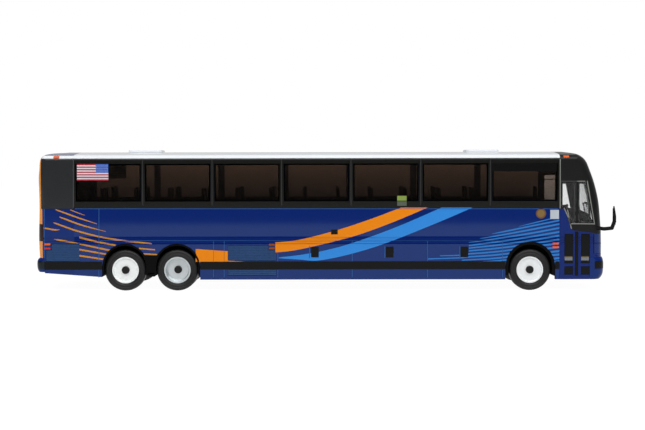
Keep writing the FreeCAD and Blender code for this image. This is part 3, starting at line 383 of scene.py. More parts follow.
def band_print(name, hex_code, bead_highlight_code):
    material, tree, shader = new_finish(name, hex_code, 0.16, IOR=1.5, Specular_IOR_Level=0.35)
    outward = add(tree, "Math", {0: coordinate(tree)["Y"]}, operation="ABSOLUTE")
    bead = mask(tree, outward.outputs[0], half_width + BEAD_PROUD)
    varied(tree, shader, painted_over(tree, linear(hex_code), bead_highlight_code, bead), 5.0, 0.06)
    grain(tree, shader, 0.5, 0.002, 0.4)
    return material


# the lighter grey of the pillar beads is a painted highlight; the quarter panel's beads keep its own colour
band_black = band_print("glossy black print", "#181817", "#282A29")
quarter_black = band_print("black quarter panel print", "#2A2C2E", "#2A2C2E")
print("black plastics:", trim_abs.name, liner_abs.name, band_black.name)

# %% [markdown]
# The side panes are moulded polystyrene, tinted smoke brown: one pane lets about a sixth of the light
# through at its top, and less toward the sill. The nose has nearly clear panes. Full transmission with an
# IOR near plastic's lets the seats show through, and a very slow ripple breaks up the reflections as
# moulding does.

# %% Panes
PANE_TOP = 34.5
PANE_SILL = 25.5


def moulded_pane(name, hex_code, roughness=0.02, low_code=None):
    """A see-through pane; with low_code its tint deepens toward the sill."""
    material, tree, shader = new_finish(name, hex_code, roughness, IOR=1.45, Transmission_Weight=1.0,
                                        Specular_IOR_Level=0.3)
    if low_code:
        depth = add(tree, "MapRange", {"Value": coordinate(tree)["Z"], "From Min": PANE_TOP * MM,
                                       "From Max": PANE_SILL * MM})
        tint = painted_over(tree, linear(hex_code), low_code, depth.outputs["Result"])
        tree.links.new(tint, shader.inputs["Base Color"])
    grain(tree, shader, 6.0, 0.01, 0.3)
    return material


tinted_pane = moulded_pane("smoke brown polystyrene", "#75675D", low_code="#544B46")
clear_pane = moulded_pane("clear polystyrene", "#F0F1F1")
sign_pane = moulded_pane("dark polystyrene sign cover", "#2A2A2C")
print("panes:", tinted_pane.name, clear_pane.name, sign_pane.name)

# %% [markdown]
# A headlamp lens is moulded clear. Its front stays clear, and its shoulder on the side of the coach is
# coloured the body's blue, a painted reflection of the bodywork round it. One shader does both: where the
# blue is, the transmission is taken away.

# %% Headlamp lens
LENS_CLEAR = "#C9D6E8"
SHOULDER_WIDTH = 2.9
CLEARNESS = 0.7


def lamp_moulding():
    material, tree, shader = new_finish("clear polystyrene lens", LENS_CLEAR, 0.1, IOR=1.5,
                                        Specular_IOR_Level=0.3, Specular_Tint=GLOSS_TINT)
    outward = add(tree, "Math", {0: coordinate(tree)["Y"]}, operation="ABSOLUTE")
    shoulder = mask(tree, outward.outputs[0], half_width - SHOULDER_WIDTH)
    # the shoulder's blue is a painted reflection of the body, not paint on the lens
    varied(tree, shader, painted_over(tree, linear(LENS_CLEAR), BLUE, shoulder), 2.0, 0.05)
    clear = add(tree, "Math", {0: CLEARNESS, 1: shoulder}, operation="SUBTRACT", use_clamp=True)
    tree.links.new(clear.outputs[0], shader.inputs["Transmission Weight"])
    grain(tree, shader, 0.8, 0.01, 0.4)
    return material


lamp_pane = lamp_moulding()
print("headlamp lens:", lamp_pane.name)

# %% [markdown]
# The small lamps are moulded in their own colours, with fine ribs on the face. A wave texture draws the
# ribs. At a scale of 1 it repeats every 0.314 m, so the scale follows from the distance between two ribs.
# The markers along the side are one node, so a pattern tells them apart by their place: the middle pair is
# darker, and the lower one at the tail is red.

# %% Small lamps
WAVE_LENGTH = math.pi / 10
RIB_PITCH = 0.349
MIDDLE_LAMPS = (-18.0, -10.0)
TAIL_LAMPS_END = -70.0
RED_BELOW = 12.45


def coloured_lens(name, hex_code, pattern=None):
    """A ribbed moulded lens; pattern may lay other colours over parts of it."""
    material, tree, shader = new_finish(name, hex_code, 0.22, IOR=1.49, Specular_IOR_Level=0.3)
    painted = linear(hex_code)
    if pattern:
        painted = pattern(tree, painted)
    varied(tree, shader, painted, 0.6, 0.12)
    place = add(tree, "TexCoord").outputs["Object"]
    ribs = add(tree, "TexWave", {"Vector": place, "Scale": WAVE_LENGTH / (RIB_PITCH * MM)},
               bands_direction="X")
    relief(tree, shader, ribs.outputs["Fac"], 0.02, 0.4)
    return material


def marker_pattern(tree, amber):
    place = coordinate(tree)
    painted = painted_over(tree, amber, "#8E3F1E", mask(tree, place["X"], *MIDDLE_LAMPS))
    at_tail = mask(tree, place["X"], None, TAIL_LAMPS_END)
    red = mask(tree, place["Z"], None, RED_BELOW, within=at_tail)
    return painted_over(tree, painted, "#C32A34", red)


amber_lens = coloured_lens("moulded amber lens", "#E9601F")
marker_lens = coloured_lens("moulded marker lens", "#E9601F", marker_pattern)
smoked_lens = coloured_lens("smoked red lens", "#2A1110")
print("small lamps:", amber_lens.name, marker_lens.name, smoked_lens.name)

# %% [markdown]
# Louvres are moulded in the side and painted blue. Their real mesh is too fine to show, so its waves are
# drawn about a millimetre apart, and it reads as a lighter grey blue.

# %% Louvres
LOUVRE_BLUE = "#284A79"
MESH_PITCH = 1.208


def louvre_paint():
    material, tree, shader = new_finish("painted louvres", LOUVRE_BLUE, 0.35, IOR=1.5,
                                        Specular_IOR_Level=0.25)
    varied(tree, shader, linear(LOUVRE_BLUE), 0.5, 0.25)
    place = add(tree, "TexCoord").outputs["Object"]
    weave = add(tree, "TexWave", {"Vector": place, "Scale": WAVE_LENGTH / (MESH_PITCH * MM)},
                bands_direction="X")
    relief(tree, shader, weave.outputs["Fac"], 0.03, 0.5)
    return material


louvres = louvre_paint()
print("louvres:", louvres.name)

# %% [markdown]
# The wheels are discs turned on a lathe and lacquered silver. The cutter leaves fine rings about the axle,
# so the bump is a noise that only changes with the distance from the axle.

# %% Turned discs
RING_PITCH = 0.25


def turned_disc(name, axle_x, hex_code, metallic, ring_depth):
    material, tree, shader = new_finish(name, hex_code, 0.36, Metallic=metallic)
    place = add(tree, "TexCoord").outputs["Object"]
    middle = (axle_x * MM, 0.0, axle_z * MM)
    arm = add(tree, "VectorMath", {0: place, 1: middle}, operation="SUBTRACT")
    flat = add(tree, "VectorMath", {0: arm.outputs["Vector"], 1: (1.0, 0.0, 1.0)}, operation="MULTIPLY")
    radius = add(tree, "VectorMath", {0: flat.outputs["Vector"]}, operation="LENGTH")
    rings = add(tree, "TexNoise", {"W": radius.outputs["Value"], "Scale": 1 / (RING_PITCH * MM),
                                   "Detail": 3.0}, noise_dimensions="1D")
    varied(tree, shader, linear(hex_code), 0.7, 0.05)
    relief(tree, shader, rings.outputs["Fac"], ring_depth, 0.5)
    return material


disc_of = {
    "front": turned_disc("silver lacquered front disc", axles["front"], "#F5F8F9", 0.45, 0.012),
    "drive": turned_disc("silver lacquered drive disc", axles["drive"], "#D5DBDD", 0.8, 0.03),
    "tag": turned_disc("silver lacquered tag disc", axles["tag"], "#FAFEFD", 0.45, 0.012),
}
print("discs:", len(disc_of))

# %% [markdown]
# The tyres are moulded in soft vinyl. It is smooth and has a dull sheen, with faint cloudy marks from the
# mould. The base screws are zinc plated steel, too small to show more than a grey gleam.

# %% Vinyl tyres and zinc screws
TYRE_BLACK = "#1A1A1B"


def vinyl_tyre():
    material, tree, shader = new_finish("smooth vinyl tyre", TYRE_BLACK, 0.45, IOR=1.52,
                                        Specular_IOR_Level=0.28)
    varied(tree, shader, linear(TYRE_BLACK), 1.2, 0.15)
    grain(tree, shader, 0.25, 0.01, 0.4, 3.0)
    return material


tyre_vinyl = vinyl_tyre()
zinc_screw = new_finish("zinc plated steel", "#A9AAAC", 0.35, Metallic=1.0)[0]
print("tyres and screws:", tyre_vinyl.name, "and", zinc_screw.name)


# %% [markdown]
# The stripes and signs are pad printed: a soft pad picks up the ink and presses it on. The film is thin and
# a little softer in gloss than the enamel. Thin stripes print paler than broad ones, so they have inks of
# their own.


# %% Printing inks
def ink(name, hex_code, roughness=0.22):
    material, tree, shader = new_finish(name, hex_code, roughness, IOR=1.5, Specular_IOR_Level=0.15)
    varied(tree, shader, linear(hex_code), 2.0, 0.03)
    grain(tree, shader, ORANGE_PEEL, 0.003, 0.5)
    return material


orange_ink = ink("orange pad print", "#E8850F")
sky_ink = ink("light blue pad print", "#3287D8")
# the pale blue seam ink is a painted highlight along the edges of the panel seams
seam_highlight_ink = ink("painted highlight on seam edge", "#2B5694", 0.35)
orange_seam_line_ink = ink("darker orange seam line", "#B56A1C", 0.35)
grey_ink = ink("grey rubber bead", "#82847E", 0.5)
dark_bead_and_seam_highlight_ink = ink("dark rubber bead and painted seam highlight", "#434543", 0.5)
ridge_highlight_ink = ink("painted highlight on pillar ridge", "#2F302F", 0.5)
white_ink = ink("white pad print", "#B7BEC6")
label_ink = ink("grey label print", "#777B80")
gold_ink = ink("dull gold pad print", "#5C5036")
thin_orange_ink = ink("thin orange pad print", "#C8862C")
thin_sky_ink = ink("thin light blue pad print", "#2E78C4")
flag_white = ink("off-white pad print", "#D8D2D8")
flag_red = ink("deep red pad print", "#A8323F")
flag_blue = ink("flag blue pad print", "#2E5CB8")
black_ink = ink("black pad print", "#0F0F10")
dull_ink = ink("grey green pad print", "#586055")
bronze_ink = ink("bronze pad print", "#6F4F34")
sand_ink = ink("sand pad print", "#80673F")
yellow_ink = ink("straw pad print", "#82974A")
print("inks are ready, such as", orange_ink.name)

# %% [markdown]
# Every solid now gets its finish. The solids themselves are never moved or changed, so the list only pairs
# each finish with the names of the solids that wear it.

# %% Finishes on the solids
worn_by = [
    (body_enamel, "body_shell roof_hatches"), (nose_enamel, "front_cap"), (tail_enamel, "rear_cap"),
    (front_bumper_paint, "front_bumper"), (rear_bumper_paint, "rear_bumper"), (door_print, "door_inserts"),
    (trim_abs, "bumper_inserts engine_grille wipers mirror_left mirror_right rub_strips luggage_latches"),
    (trim_abs, "steering_wheel"), (quarter_black, "rear_quarter_panels"), (louvres, "side_grilles"),
    (band_black, "rear_window window_band_left window_band_right"), (smoked_lens, "tail_lamps"),
    (amber_lens, "roof_marker_lamps"), (marker_lens, "side_marker_lamps"), (lamp_pane, "headlamps"),
    (tinted_pane, "window_panes_left window_panes_right"), (clear_pane, "windscreen cab_side_glass"),
    (sign_pane, "sign_glass"), (liner_abs, "arch_trim_front_left arch_trim_front_right"),
    (liner_abs, "arch_trim_rear_left arch_trim_rear_right"), (chassis_abs, "chassis_plate"),
    (zinc_screw, "base_screws"), (cabin_abs, "cabin_floor dashboard"),
    (seat_abs, "seats_left seats_right driver_seat"),
]
finish_of = {name: material for material, names in worn_by for name in names.split()}
for name in axles:
    finish_of[name + "_axle_rod"] = pin_steel
    for side in ("left", "right"):
        finish_of[name + "_wheel_" + side] = disc_of[name]
        finish_of[name + "_tyre_" + side] = tyre_vinyl
for name, node in nodes.items():
    node.data.materials.clear()
    node.data.materials.append(finish_of[name])
print("finished solids:", len(nodes))


# %% [markdown]
# Stripes and signs could be painted in the enamel's nodes. Each is made as one thin closed sheet instead,
# as wide as the real print, because a sheet can cross from panel to panel and has a clean edge in any
# export. An outline is a row of small four-sided patches in the photograph's pixels. The side has a crease
# with grooves, so every patch is first cut at the heights where the side steps in.

# %% Cutting patches at the crease
GROOVE_DEPTH = 0.15
SIDE_BANDS = [(0.0, 13.05, 0.0), (13.05, 13.23, GROOVE_DEPTH), (13.23, 13.75, 0.0),
              (13.75, 13.93, GROOVE_DEPTH), (13.93, 14.35, 0.0), (14.35, 14.9, GROOVE_DEPTH),
              (14.9, 60.0, 0.0)]
ONE_BAND = [(0.0, 60.0, 0.0)]


def clip(points, limit, keep_above):
    """The part of a convex patch above or below a height."""
    kept = []
    for a, b in zip(points, points[1:] + points[:1]):
        a_in = (a[1] >= limit) == keep_above
        b_in = (b[1] >= limit) == keep_above
        if a_in:
            kept.append(a)
        if a_in != b_in:
            share = (limit - a[1]) / (b[1] - a[1])
            kept.append((a[0] + share * (b[0] - a[0]), limit))
    return kept


def patch_area(points):
    pairs = zip(points, points[1:] + points[:1])
    return abs(sum(a[0] * b[1] - b[0] * a[1] for a, b in pairs)) / 2


print("a unit square cut at half its height:", patch_area(clip([(0, 0), (1, 0), (1, 1), (0, 1)], 0.5, True)))

# %% [markdown]
# The prints stop at the wheel arches. An arch is a circle with a radius and a small rise over its axle, and
# a patch whose middle lies inside it is dropped. The black liner covers the stepped edge that this leaves.

# %% Room for the wheel arches
ARCHES = {"front": (6.5, 1.05), "drive": (6.0, 1.05), "tag": (6.0, 1.05)}


def clear_of_arches(patches):
    """Drops the patches whose middle lies inside a wheel arch."""
    kept = []
    for patch in patches:
        x = sum(point[0] for point in patch) / len(patch)
        z = sum(point[1] for point in patch) / len(patch)
        gaps = [math.hypot(x - axles[name], z - axle_z - rise) - radius
                for name, (radius, rise) in ARCHES.items()]
        if min(gaps) > 0:
            kept.append(patch)
    return kept


print("arch radii:", {name: radius for name, (radius, rise) in ARCHES.items()})


# %% [markdown]
# Every new piece is built in millimetres with bmesh, which makes any shape from bare corners and faces.
# Then it is scaled to metres, given its finish, and told which body it rides on and which material slot it
# belongs to.


# %% From mesh to piece
def finish_mesh(name, bm, material, body="coach_body"):
    """Turns a built mesh, in millimetres, into a piece that rides on a body."""
    bmesh.ops.recalc_face_normals(bm, faces=bm.faces)
    bmesh.ops.scale(bm, vec=(MM, MM, MM), verts=bm.verts)
    mesh = bpy.data.meshes.new(name)
    bm.to_mesh(mesh)
    bm.free()
    mesh.materials.append(material)
    piece = bpy.data.objects.new(name, mesh)
    bpy.context.scene.collection.objects.link(piece)
    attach(piece, body)
    return piece


# %% [markdown]
# A print follows the outer face of the side, a hair proud of it. The flat sheet is then extruded inwards, a
# little way into the paint below, so that it is closed and leaves no gap at its edges.

# %% Printed sheets
INK_PROUD = 0.02
INK_DEPTH = 0.05
SMALLEST_PATCH = 1e-4


def print_on_sides(name, patches, material, sides=(-1, 1), lift=0.0, flat=False):
    """Lays patches, given in millimetres as (x, z) corners, on one or both sides as a closed sheet."""
    bm = bmesh.new()
    bands = ONE_BAND if flat else SIDE_BANDS
    for side in sides:
        for patch in patches:
            for low, high, depth in bands:
                piece = clip(clip(patch, low, True), high, False)
                if len(piece) < 3 or patch_area(piece) < SMALLEST_PATCH:
                    continue
                bm.faces.new([bm.verts.new((x, side * (face_y(x, z) - depth + INK_PROUD + lift), z))
                              for x, z in piece])
    bmesh.ops.remove_doubles(bm, verts=bm.verts, dist=1e-4)
    front = list(bm.faces)
    made = bmesh.ops.extrude_face_region(bm, geom=front, use_keep_orig=True)
    for vert in [item for item in made["geom"] if isinstance(item, bmesh.types.BMVert)]:
        vert.co.y -= math.copysign(INK_PROUD + INK_DEPTH, vert.co.y)
    print(name, len(bm.faces), "faces")
    return finish_mesh(name, bm, material)


# %% [markdown]
# Curved stripes go through a few measured pixels. A smooth curve through them is walked in steps of about a
# third of a millimetre, short enough that a stripe can stop under the black ring of a wheel arch. The
# formula is a Catmull-Rom spline: it passes through every measured point, where a Bezier curve would need
# handles too.

# %% Curves and ribbons
STEP_PIXELS = 1.2


def smooth(points):
    """A smooth curve through points of any dimension, in even steps along it."""
    curve = []
    for i in range(len(points) - 1):
        before = points[max(i - 1, 0)]
        a, b = points[i], points[i + 1]
        after = points[min(i + 2, len(points) - 1)]
        steps = max(2, math.ceil(math.hypot(b[0] - a[0], b[1] - a[1]) / STEP_PIXELS))
        for step in range(steps):
            t = step / steps
            curve.append(tuple(
                0.5 * (2 * p1 + (p2 - p0) * t + (2 * p0 - 5 * p1 + 4 * p2 - p3) * t ** 2
                       + (3 * p1 - p0 - 3 * p2 + p3) * t ** 3)
                for p0, p1, p2, p3 in zip(before, a, b, after)))
    curve.append(points[-1])
    return curve


def patches_between(upper, lower):
    """Patches between two edges with as many points, given in pixels."""
    top = [on_side(x, y) for x, y in upper]
    low = [on_side(x, y) for x, y in lower]
    return [[top[i], top[i + 1], low[i + 1], low[i]] for i in range(len(top) - 1)]


def ribbon(points, share=1.0):
    """A stripe through pixels (x, y, width); share scales its width."""
    curve = [(x, y, width * share) for x, y, width in smooth(points)]
    upper = [(x, y - width / 2) for x, y, width in curve]
    lower = [(x, y + width / 2) for x, y, width in curve]
    return patches_between(upper, lower)


print("a run of 12 pixels is walked in", len(smooth([(0, 0), (12, 0)])) - 1, "steps")

# %% [markdown]
# A broad swoosh has two edges that bend differently. Both are read at the same number of places from left
# to right and joined in pairs. A sign needs only its two opposite corners.


# %% Swooshes and rectangles
def edge_at(points, count):
    """A curve read at an even number of shares of its width."""
    curve = smooth(points)
    left, right = curve[0][0], curve[-1][0]
    stations = [left + (right - left) * i / count for i in range(count + 1)]
    return [(x, between(x, curve)) for x in stations]


def swoosh(upper, lower, count):
    """A broad stripe between two curves that each run from left to right."""
    return patches_between(edge_at(upper, count), edge_at(lower, count))


def rectangle(x0, y0, x1, y1):
    """One patch from two opposite corner pixels."""
    return [[on_side(x0, y0), on_side(x1, y0), on_side(x1, y1), on_side(x0, y1)]]


print("ten pixels square cover", round(patch_area(rectangle(300, 200, 310, 210)[0]), 1), "square millimetres")


# %% [markdown]
# Two broad swooshes climb from the wheels to the windows: orange first, light blue ahead of it. Their edges
# were measured at a few pixels each, more where they bend.

# %% Broad swooshes
orange_swoosh = swoosh(
    [(275.4, 242.4), (300, 239.6), (337.8, 229.9), (370, 219.3), (401, 207.6)],
    [(275.4, 252.5), (300, 249.3), (351, 237.0), (390, 223.3), (427.5, 207.6)], 120)
blue_swoosh = swoosh(
    [(278.8, 257.4), (300, 254.9), (325, 250.4), (352, 243.1), (396, 227.2), (441.5, 207.6)],
    [(278.8, 258.3), (300, 259.6), (318.4, 260.5), (351, 253.9), (388.8, 242.1), (440, 221.6),
     (472.5, 207.6)], 150)
print_on_sides("orange_swoosh", orange_swoosh, orange_ink)
print_on_sides("blue_swoosh", blue_swoosh, sky_ink)

# %% [markdown]
# Behind the wheels, thin orange stripes sweep down from the tail and meet in a solid block ahead of the
# drive wheel. A third number at each point is the stripe's width there, so that its ends run out to points.

# %% Orange stripes at the tail
tail_stripes = [
    [(55.5, 209.5, 0.7), (60, 211.2, 1.4), (80, 218.4, 1.4), (97, 223.9, 0.4)],
    [(70.2, 209.8, 0.7), (77, 212.5, 0.9), (85, 215.4, 0.3)],
    [(59.6, 217.0, 1.0), (66, 219.4, 1.6), (82, 225.2, 1.5), (106, 231.6, 0.3)],
    [(53.5, 222.8, 0.5), (57, 223.9, 1.4), (77, 230.9, 1.7), (98.9, 236.6, 1.6), (120, 240.2, 1.6),
     (147, 243.2, 1.4), (152, 243.8, 0.8)],
    [(79.4, 237.4, 1.9), (98.9, 242.2, 1.7), (115.5, 245.2, 1.6)],
    [(54.0, 239.2, 0.4), (60, 240.2, 1.5), (70, 242, 1.4), (78.5, 243.3, 0.4)],
    [(79.4, 243.9, 1.4), (98.9, 248.1, 1.6), (110, 250.4, 1.6)],
    [(79.4, 249.5, 1.7), (98.9, 253.0, 1.6), (106.5, 254.2, 1.5)],
    [(79.4, 255.7, 1.7), (98.9, 258.6, 1.6), (104, 259.3, 1.5)],
    [(41.5, 227.8, 1.2), (48, 228.7, 1.5), (54.7, 229.9, 1.5), (59.6, 229.7, 0.4)],
    [(139, 248.4, 1.4), (155.1, 249.8, 1.2)],
    [(143, 253.8, 1.3), (157, 254.6, 1.3)],
    [(227.8, 261.3, 1.4), (246, 261.9, 0.3)],
]
stripes = [patch for points in tail_stripes for patch in ribbon(points)]
print_on_sides("tail_stripes", clear_of_arches(stripes), thin_orange_ink)
block = swoosh([(186, 248.0), (192, 248.7), (227.8, 251.2)], [(186, 262), (200, 262), (227.8, 262)], 60)
print_on_sides("orange_block", clear_of_arches(block), orange_ink)

# %% [markdown]
# Ahead, light blue stripes fan out from the luggage doors over the front wheel up to the seam of the nose.

# %% Light blue stripes at the nose
SEAM_PIXEL = 559.4
NOSE_SHARE = 0.85
nose_stripes = [
    [(519, 226.4, 0.3), (535, 222.6, 1.2), (552, 218.5, 1.2)],
    [(492, 233.8, 0.4), (505, 231.4, 1.6), (530, 226.3, 1.8), (SEAM_PIXEL, 220.4, 1.8)],
    [(480, 238.5, 0.4), (492, 236.7, 1.5), (530, 229.8, 2.0), (SEAM_PIXEL, 224.0, 2.0)],
    [(468.8, 242.4, 0.5), (485, 240.4, 1.5), (530, 233.4, 2.0), (SEAM_PIXEL, 227.9, 2.0)],
    [(468.8, 245.6, 1.6), (500, 241.5, 1.9), (530, 236.9, 2.0), (SEAM_PIXEL, 231.8, 2.1)],
    [(468.8, 248.1, 1.6), (500, 244.8, 1.9), (530, 240.5, 2.0), (SEAM_PIXEL, 235.6, 2.1)],
    [(468.8, 250.9, 1.6), (500, 248.0, 1.9), (530, 244.0, 2.0), (SEAM_PIXEL, 239.4, 2.1)],
    [(440, 255.8, 0.9), (460, 255.2, 1.3), (468.8, 253.9, 1.7), (500, 251.3, 1.9), (551, 244.3, 2.2),
     (SEAM_PIXEL, 243.2, 2.2)],
    [(427.5, 258.9, 1.3), (460, 257.8, 1.3), (468.8, 256.9, 1.7), (500, 254.5, 1.9), (551, 248.1, 2.2),
     (SEAM_PIXEL, 247.2, 2.2)],
    [(461.7, 260.2, 1.2), (480, 259.2, 1.5), (500, 257.8, 1.9), (SEAM_PIXEL, 251.0, 2.4)],
    [(483, 261.3, 0.5), (500, 260.6, 1.7), (SEAM_PIXEL, 254.4, 2.4)],
    [(545, 259.6, 2.2), (SEAM_PIXEL, 258.0, 2.4)],
    [(545, 262.3, 1.6), (SEAM_PIXEL, 261.1, 1.8)],
]
stripes = [patch for points in nose_stripes for patch in ribbon(points, NOSE_SHARE)]
print_on_sides("nose_stripes", clear_of_arches(stripes), thin_sky_ink)

# %% [markdown]
# The panel seams show as pale hairlines, a painted highlight where the edges of the grooves catch the light.
# They stop at the swooshes and at the black rub strip, and in the orange block they are a darker orange.

# %% Seam hairlines
SEAM_WIDTH = 0.7
SKIRT = (269.6, 277.5)
PANEL_SEAMS = {
    98.9: [(209, 261.5)], 213.5: [(241, 249.8)], 224.2: [(241, 250.6)], 277.8: [(253, 261.5)],
    352.3: [(241, 243), (254, 261.5)], 427.5: [(241, 261.5)], 502.5: [(241, 261.5)],
}
seams = []
for x, spans in PANEL_SEAMS.items():
    for y0, y1 in spans + [SKIRT]:
        seams += rectangle(x - SEAM_WIDTH / 2, y0, x + SEAM_WIDTH / 2, y1)
for x in (309.6, 384.9, 459.9):
    seams += rectangle(x - 0.5, 246.2, x + 0.4, 258)
seams += rectangle(43.6, 209, 44.6, 258.2)
for x0, x1 in ((100, 288), (334.5, 358), (391.5, 500)):
    seams += rectangle(x0, 240.5, x1, 241.1)
seams += rectangle(75, 208.5, 558, 209.1)
# pale lines along the seams and the rear corner, a painted highlight where the edges catch the light
print_on_sides("seam_highlight_lines", clear_of_arches(seams), seam_highlight_ink, lift=0.01)
orange_seams = []
for x, top in ((213.5, 250), (224.2, 250.8)):
    orange_seams += rectangle(x - SEAM_WIDTH / 2, top, x + SEAM_WIDTH / 2, 261.5)
print_on_sides("orange_seams", orange_seams, orange_seam_line_ink, lift=0.01)

# %% [markdown]
# The windows of the nose sit in a grey rubber bead, which also runs down the front post. The same thin
# lines draw the black bezel behind each headlamp and the seam of the black quarter panel at the tail, where
# the grey line is a painted highlight along the seam.


# %% Rubber beads of the nose
def line_patches(points, width):
    """Patches along straight runs of pixels, each run lengthened by half its width."""
    patches = []
    for (xa, ya), (xb, yb) in zip(points, points[1:]):
        length = math.hypot(xb - xa, yb - ya)
        ux, uy = (xb - xa) / length, (yb - ya) / length
        steps = max(1, round(length / 3))
        nx, ny = -uy * width / 2, ux * width / 2
        xa, ya, xb, yb = xa - ux * width / 2, ya - uy * width / 2, xb + ux * width / 2, yb + uy * width / 2
        for i in range(steps):
            a = (xa + (xb - xa) * i / steps, ya + (yb - ya) * i / steps)
            b = (xa + (xb - xa) * (i + 1) / steps, ya + (yb - ya) * (i + 1) / steps)
            patches.append([on_side(a[0] + nx, a[1] + ny), on_side(b[0] + nx, b[1] + ny),
                            on_side(b[0] - nx, b[1] - ny), on_side(a[0] - nx, a[1] - ny)])
    return patches


bead = line_patches([(560.2, 159.5), (560.2, 208)], 0.9)
bead += line_patches([(564.3, 208.3), (568.9, 218.5), (571.4, 228.4)], 1.0)
bead += line_patches([(567.5, 209.9), (570.3, 223.7), (594.3, 223.9)], 0.9)
bead += line_patches([(577, 181.2), (587.4, 181.2), (594.6, 224.0)], 0.9)
print_on_sides("rubber_beads", bead, grey_ink, lift=0.02, flat=True)
top_bead = line_patches([(561.5, 181.2), (577, 181.2)], 0.9)
print_on_sides("top_bead", top_bead, dark_bead_and_seam_highlight_ink, lift=0.02, flat=True)
bezel = line_patches([(593.8, 234.5), (593.8, 253.0), (596.5, 256.0)], 0.8)
print_on_sides("lamp_bezels", bezel, black_ink, lift=0.01, flat=True)
# the quarter panel's seam line is a painted highlight, in the same grey as the dark rubber bead
quarter_seam = line_patches([(73.4, 159.5), (73.4, 207)], 0.9)
print_on_sides("quarter_seam", quarter_seam, dark_bead_and_seam_highlight_ink, flat=True)

# %% [markdown]
# Each pillar bead has a painted highlight along its ridge, and the first pane carries a plain black board
# along its top.

# %% Pillar ridges and the blank board
PANE_DROP = -0.05
RIDGE_WIDTH = 0.7
RIDGE_LIFT = 0.15
# each ridge line is a painted highlight down the middle of a pillar bead
ridges = []
for pixel in (142.4, 212.0, 281.4, 350.8, 420.6, 490.2):
    ridges += rectangle(pixel - RIDGE_WIDTH / 2, 160.5, pixel + RIDGE_WIDTH / 2, 205.0)
print_on_sides("pillar_ridges", ridges, ridge_highlight_ink, lift=RIDGE_LIFT, flat=True)
board = rectangle(492.5, 161.3, 557.0, 171.4)
print_on_sides("route_board", board, black_ink, (-1,), lift=PANE_DROP, flat=True)

# %% [markdown]
# A few small signs are printed on the side. They stay blank: pale squares, a plain disc and bare labels.

# %% Blank signs and labels
square = rectangle(550.3, 209.9, 559.0, 219.0)
notice = rectangle(397.2, 195.8, 406.6, 200.6)
notice_foot = rectangle(397.2, 201.2, 406.6, 205.8)
flap = rectangle(331, 229.6, 337.8, 234.4)
print_on_sides("square_sign", square, white_ink, lift=0.01)
print_on_sides("pane_notice", notice, yellow_ink, (-1,), flat=True)
print_on_sides("pane_notice_foot", notice_foot, dull_ink, (-1,), flat=True)
print_on_sides("fuel_flap", flap, black_ink, lift=0.02)


def disc_patches(px, py, outer, inner, count=36):
    """A flat ring about a pixel, as four-sided patches."""
    patches = []
    for i in range(count):
        a, b = 2 * math.pi * i / count, 2 * math.pi * (i + 1) / count
        corners = [(outer, a), (outer, b), (inner, b), (inner, a)]
        patches.append([on_side(px + r * math.cos(t), py + r * math.sin(t)) for r, t in corners])
    return patches


print_on_sides("emblem_ring", disc_patches(541, 213.5, 5.1, 3.7), bronze_ink, (-1,), lift=0.01)
print_on_sides("emblem_disc", disc_patches(541, 213.5, 3.7, 0.05), sand_ink, (-1,), lift=0.005)

# %% [markdown]
# The national flag on the last pane is a traditional pattern: thirteen stripes and a navy field with rows
# of small white dots. It flies forwards on this side, so its field is at the front.

# %% Flag on the rear pane
FLAG = (76.9, 164.0, 108.3, 180.6)
FIELD_LEFT = 95.8
DOT_ROWS = 5
DOT_COLUMNS = 6
DOT_STEP = (2.0, 1.65)
DOT_MARGIN = 1.2
DOT_HALF = 0.3
stripe_height = (FLAG[3] - FLAG[1]) / 13
red_bars = []
white_bars = []
for i in range(13):
    right = FIELD_LEFT if i < 7 else FLAG[2]
    y = FLAG[1] + stripe_height * i
    (red_bars if i % 2 == 0 else white_bars).extend(rectangle(FLAG[0], y, right, y + stripe_height))
field = rectangle(FIELD_LEFT, FLAG[1], FLAG[2], FLAG[1] + 7 * stripe_height)
print_on_sides("flag_red", red_bars, flag_red, lift=PANE_DROP, flat=True)
print_on_sides("flag_white", white_bars, flag_white, lift=PANE_DROP, flat=True)
print_on_sides("flag_field", field, flag_blue, lift=PANE_DROP, flat=True)
dots = []
for row in range(DOT_ROWS):
    for column in range(DOT_COLUMNS):
        x = FIELD_LEFT + DOT_MARGIN + column * DOT_STEP[0]
        y = FLAG[1] + DOT_MARGIN + row * DOT_STEP[1]
        dots += rectangle(x - DOT_HALF, y - DOT_HALF, x + DOT_HALF, y + DOT_HALF)
print_on_sides("flag_dots", dots, flag_white, lift=PANE_DROP + 0.01, flat=True)


# %% [markdown]
# The door is printed with a pale label and a gold line low on each tall pane.

# %% Door labels
def on_door(name, boxes, material):
    patches = [patch for box in boxes for patch in rectangle(*box)]
    print_on_sides(name, patches, material, (-1,), lift=-0.03, flat=True)


on_door("door_labels", [(564.6, 257.2, 572.4, 260.4), (581.2, 257.2, 588.9, 260.4)], label_ink)
on_door("door_label_lines", [(564.6, 256.2, 572.4, 257.2), (581.2, 256.2, 588.9, 257.2)], gold_ink)

# %% [markdown]
# A tyre of this scale is a smooth ring of soft vinyl. The solid is faceted to stay light, so a ring that is
# turned in many more steps stands in for it. Its outline is a list of corners, as a lathe tool would follow
# them, which is easier to shape than a torus: rounded shoulders, a bulged wall and one raised line.

# %% Outline of a tyre
TURN_STEPS = 96
TYRE_SEAT = 3.7


def lathe(bm, profile, axle_x, side):
    """Turns a closed outline (radius, distance from the middle) about an axle."""
    rings = []
    for step in range(TURN_STEPS):
        angle = 2 * math.pi * step / TURN_STEPS
        rings.append([bm.verts.new((axle_x + r * math.cos(angle), side * y, axle_z + r * math.sin(angle)))
                      for r, y in profile])
    for ring, after in zip(rings, rings[1:] + rings[:1]):
        for i in range(len(profile)):
            j = (i + 1) % len(profile)
            bm.faces.new((ring[i], ring[j], after[j], after[i]))


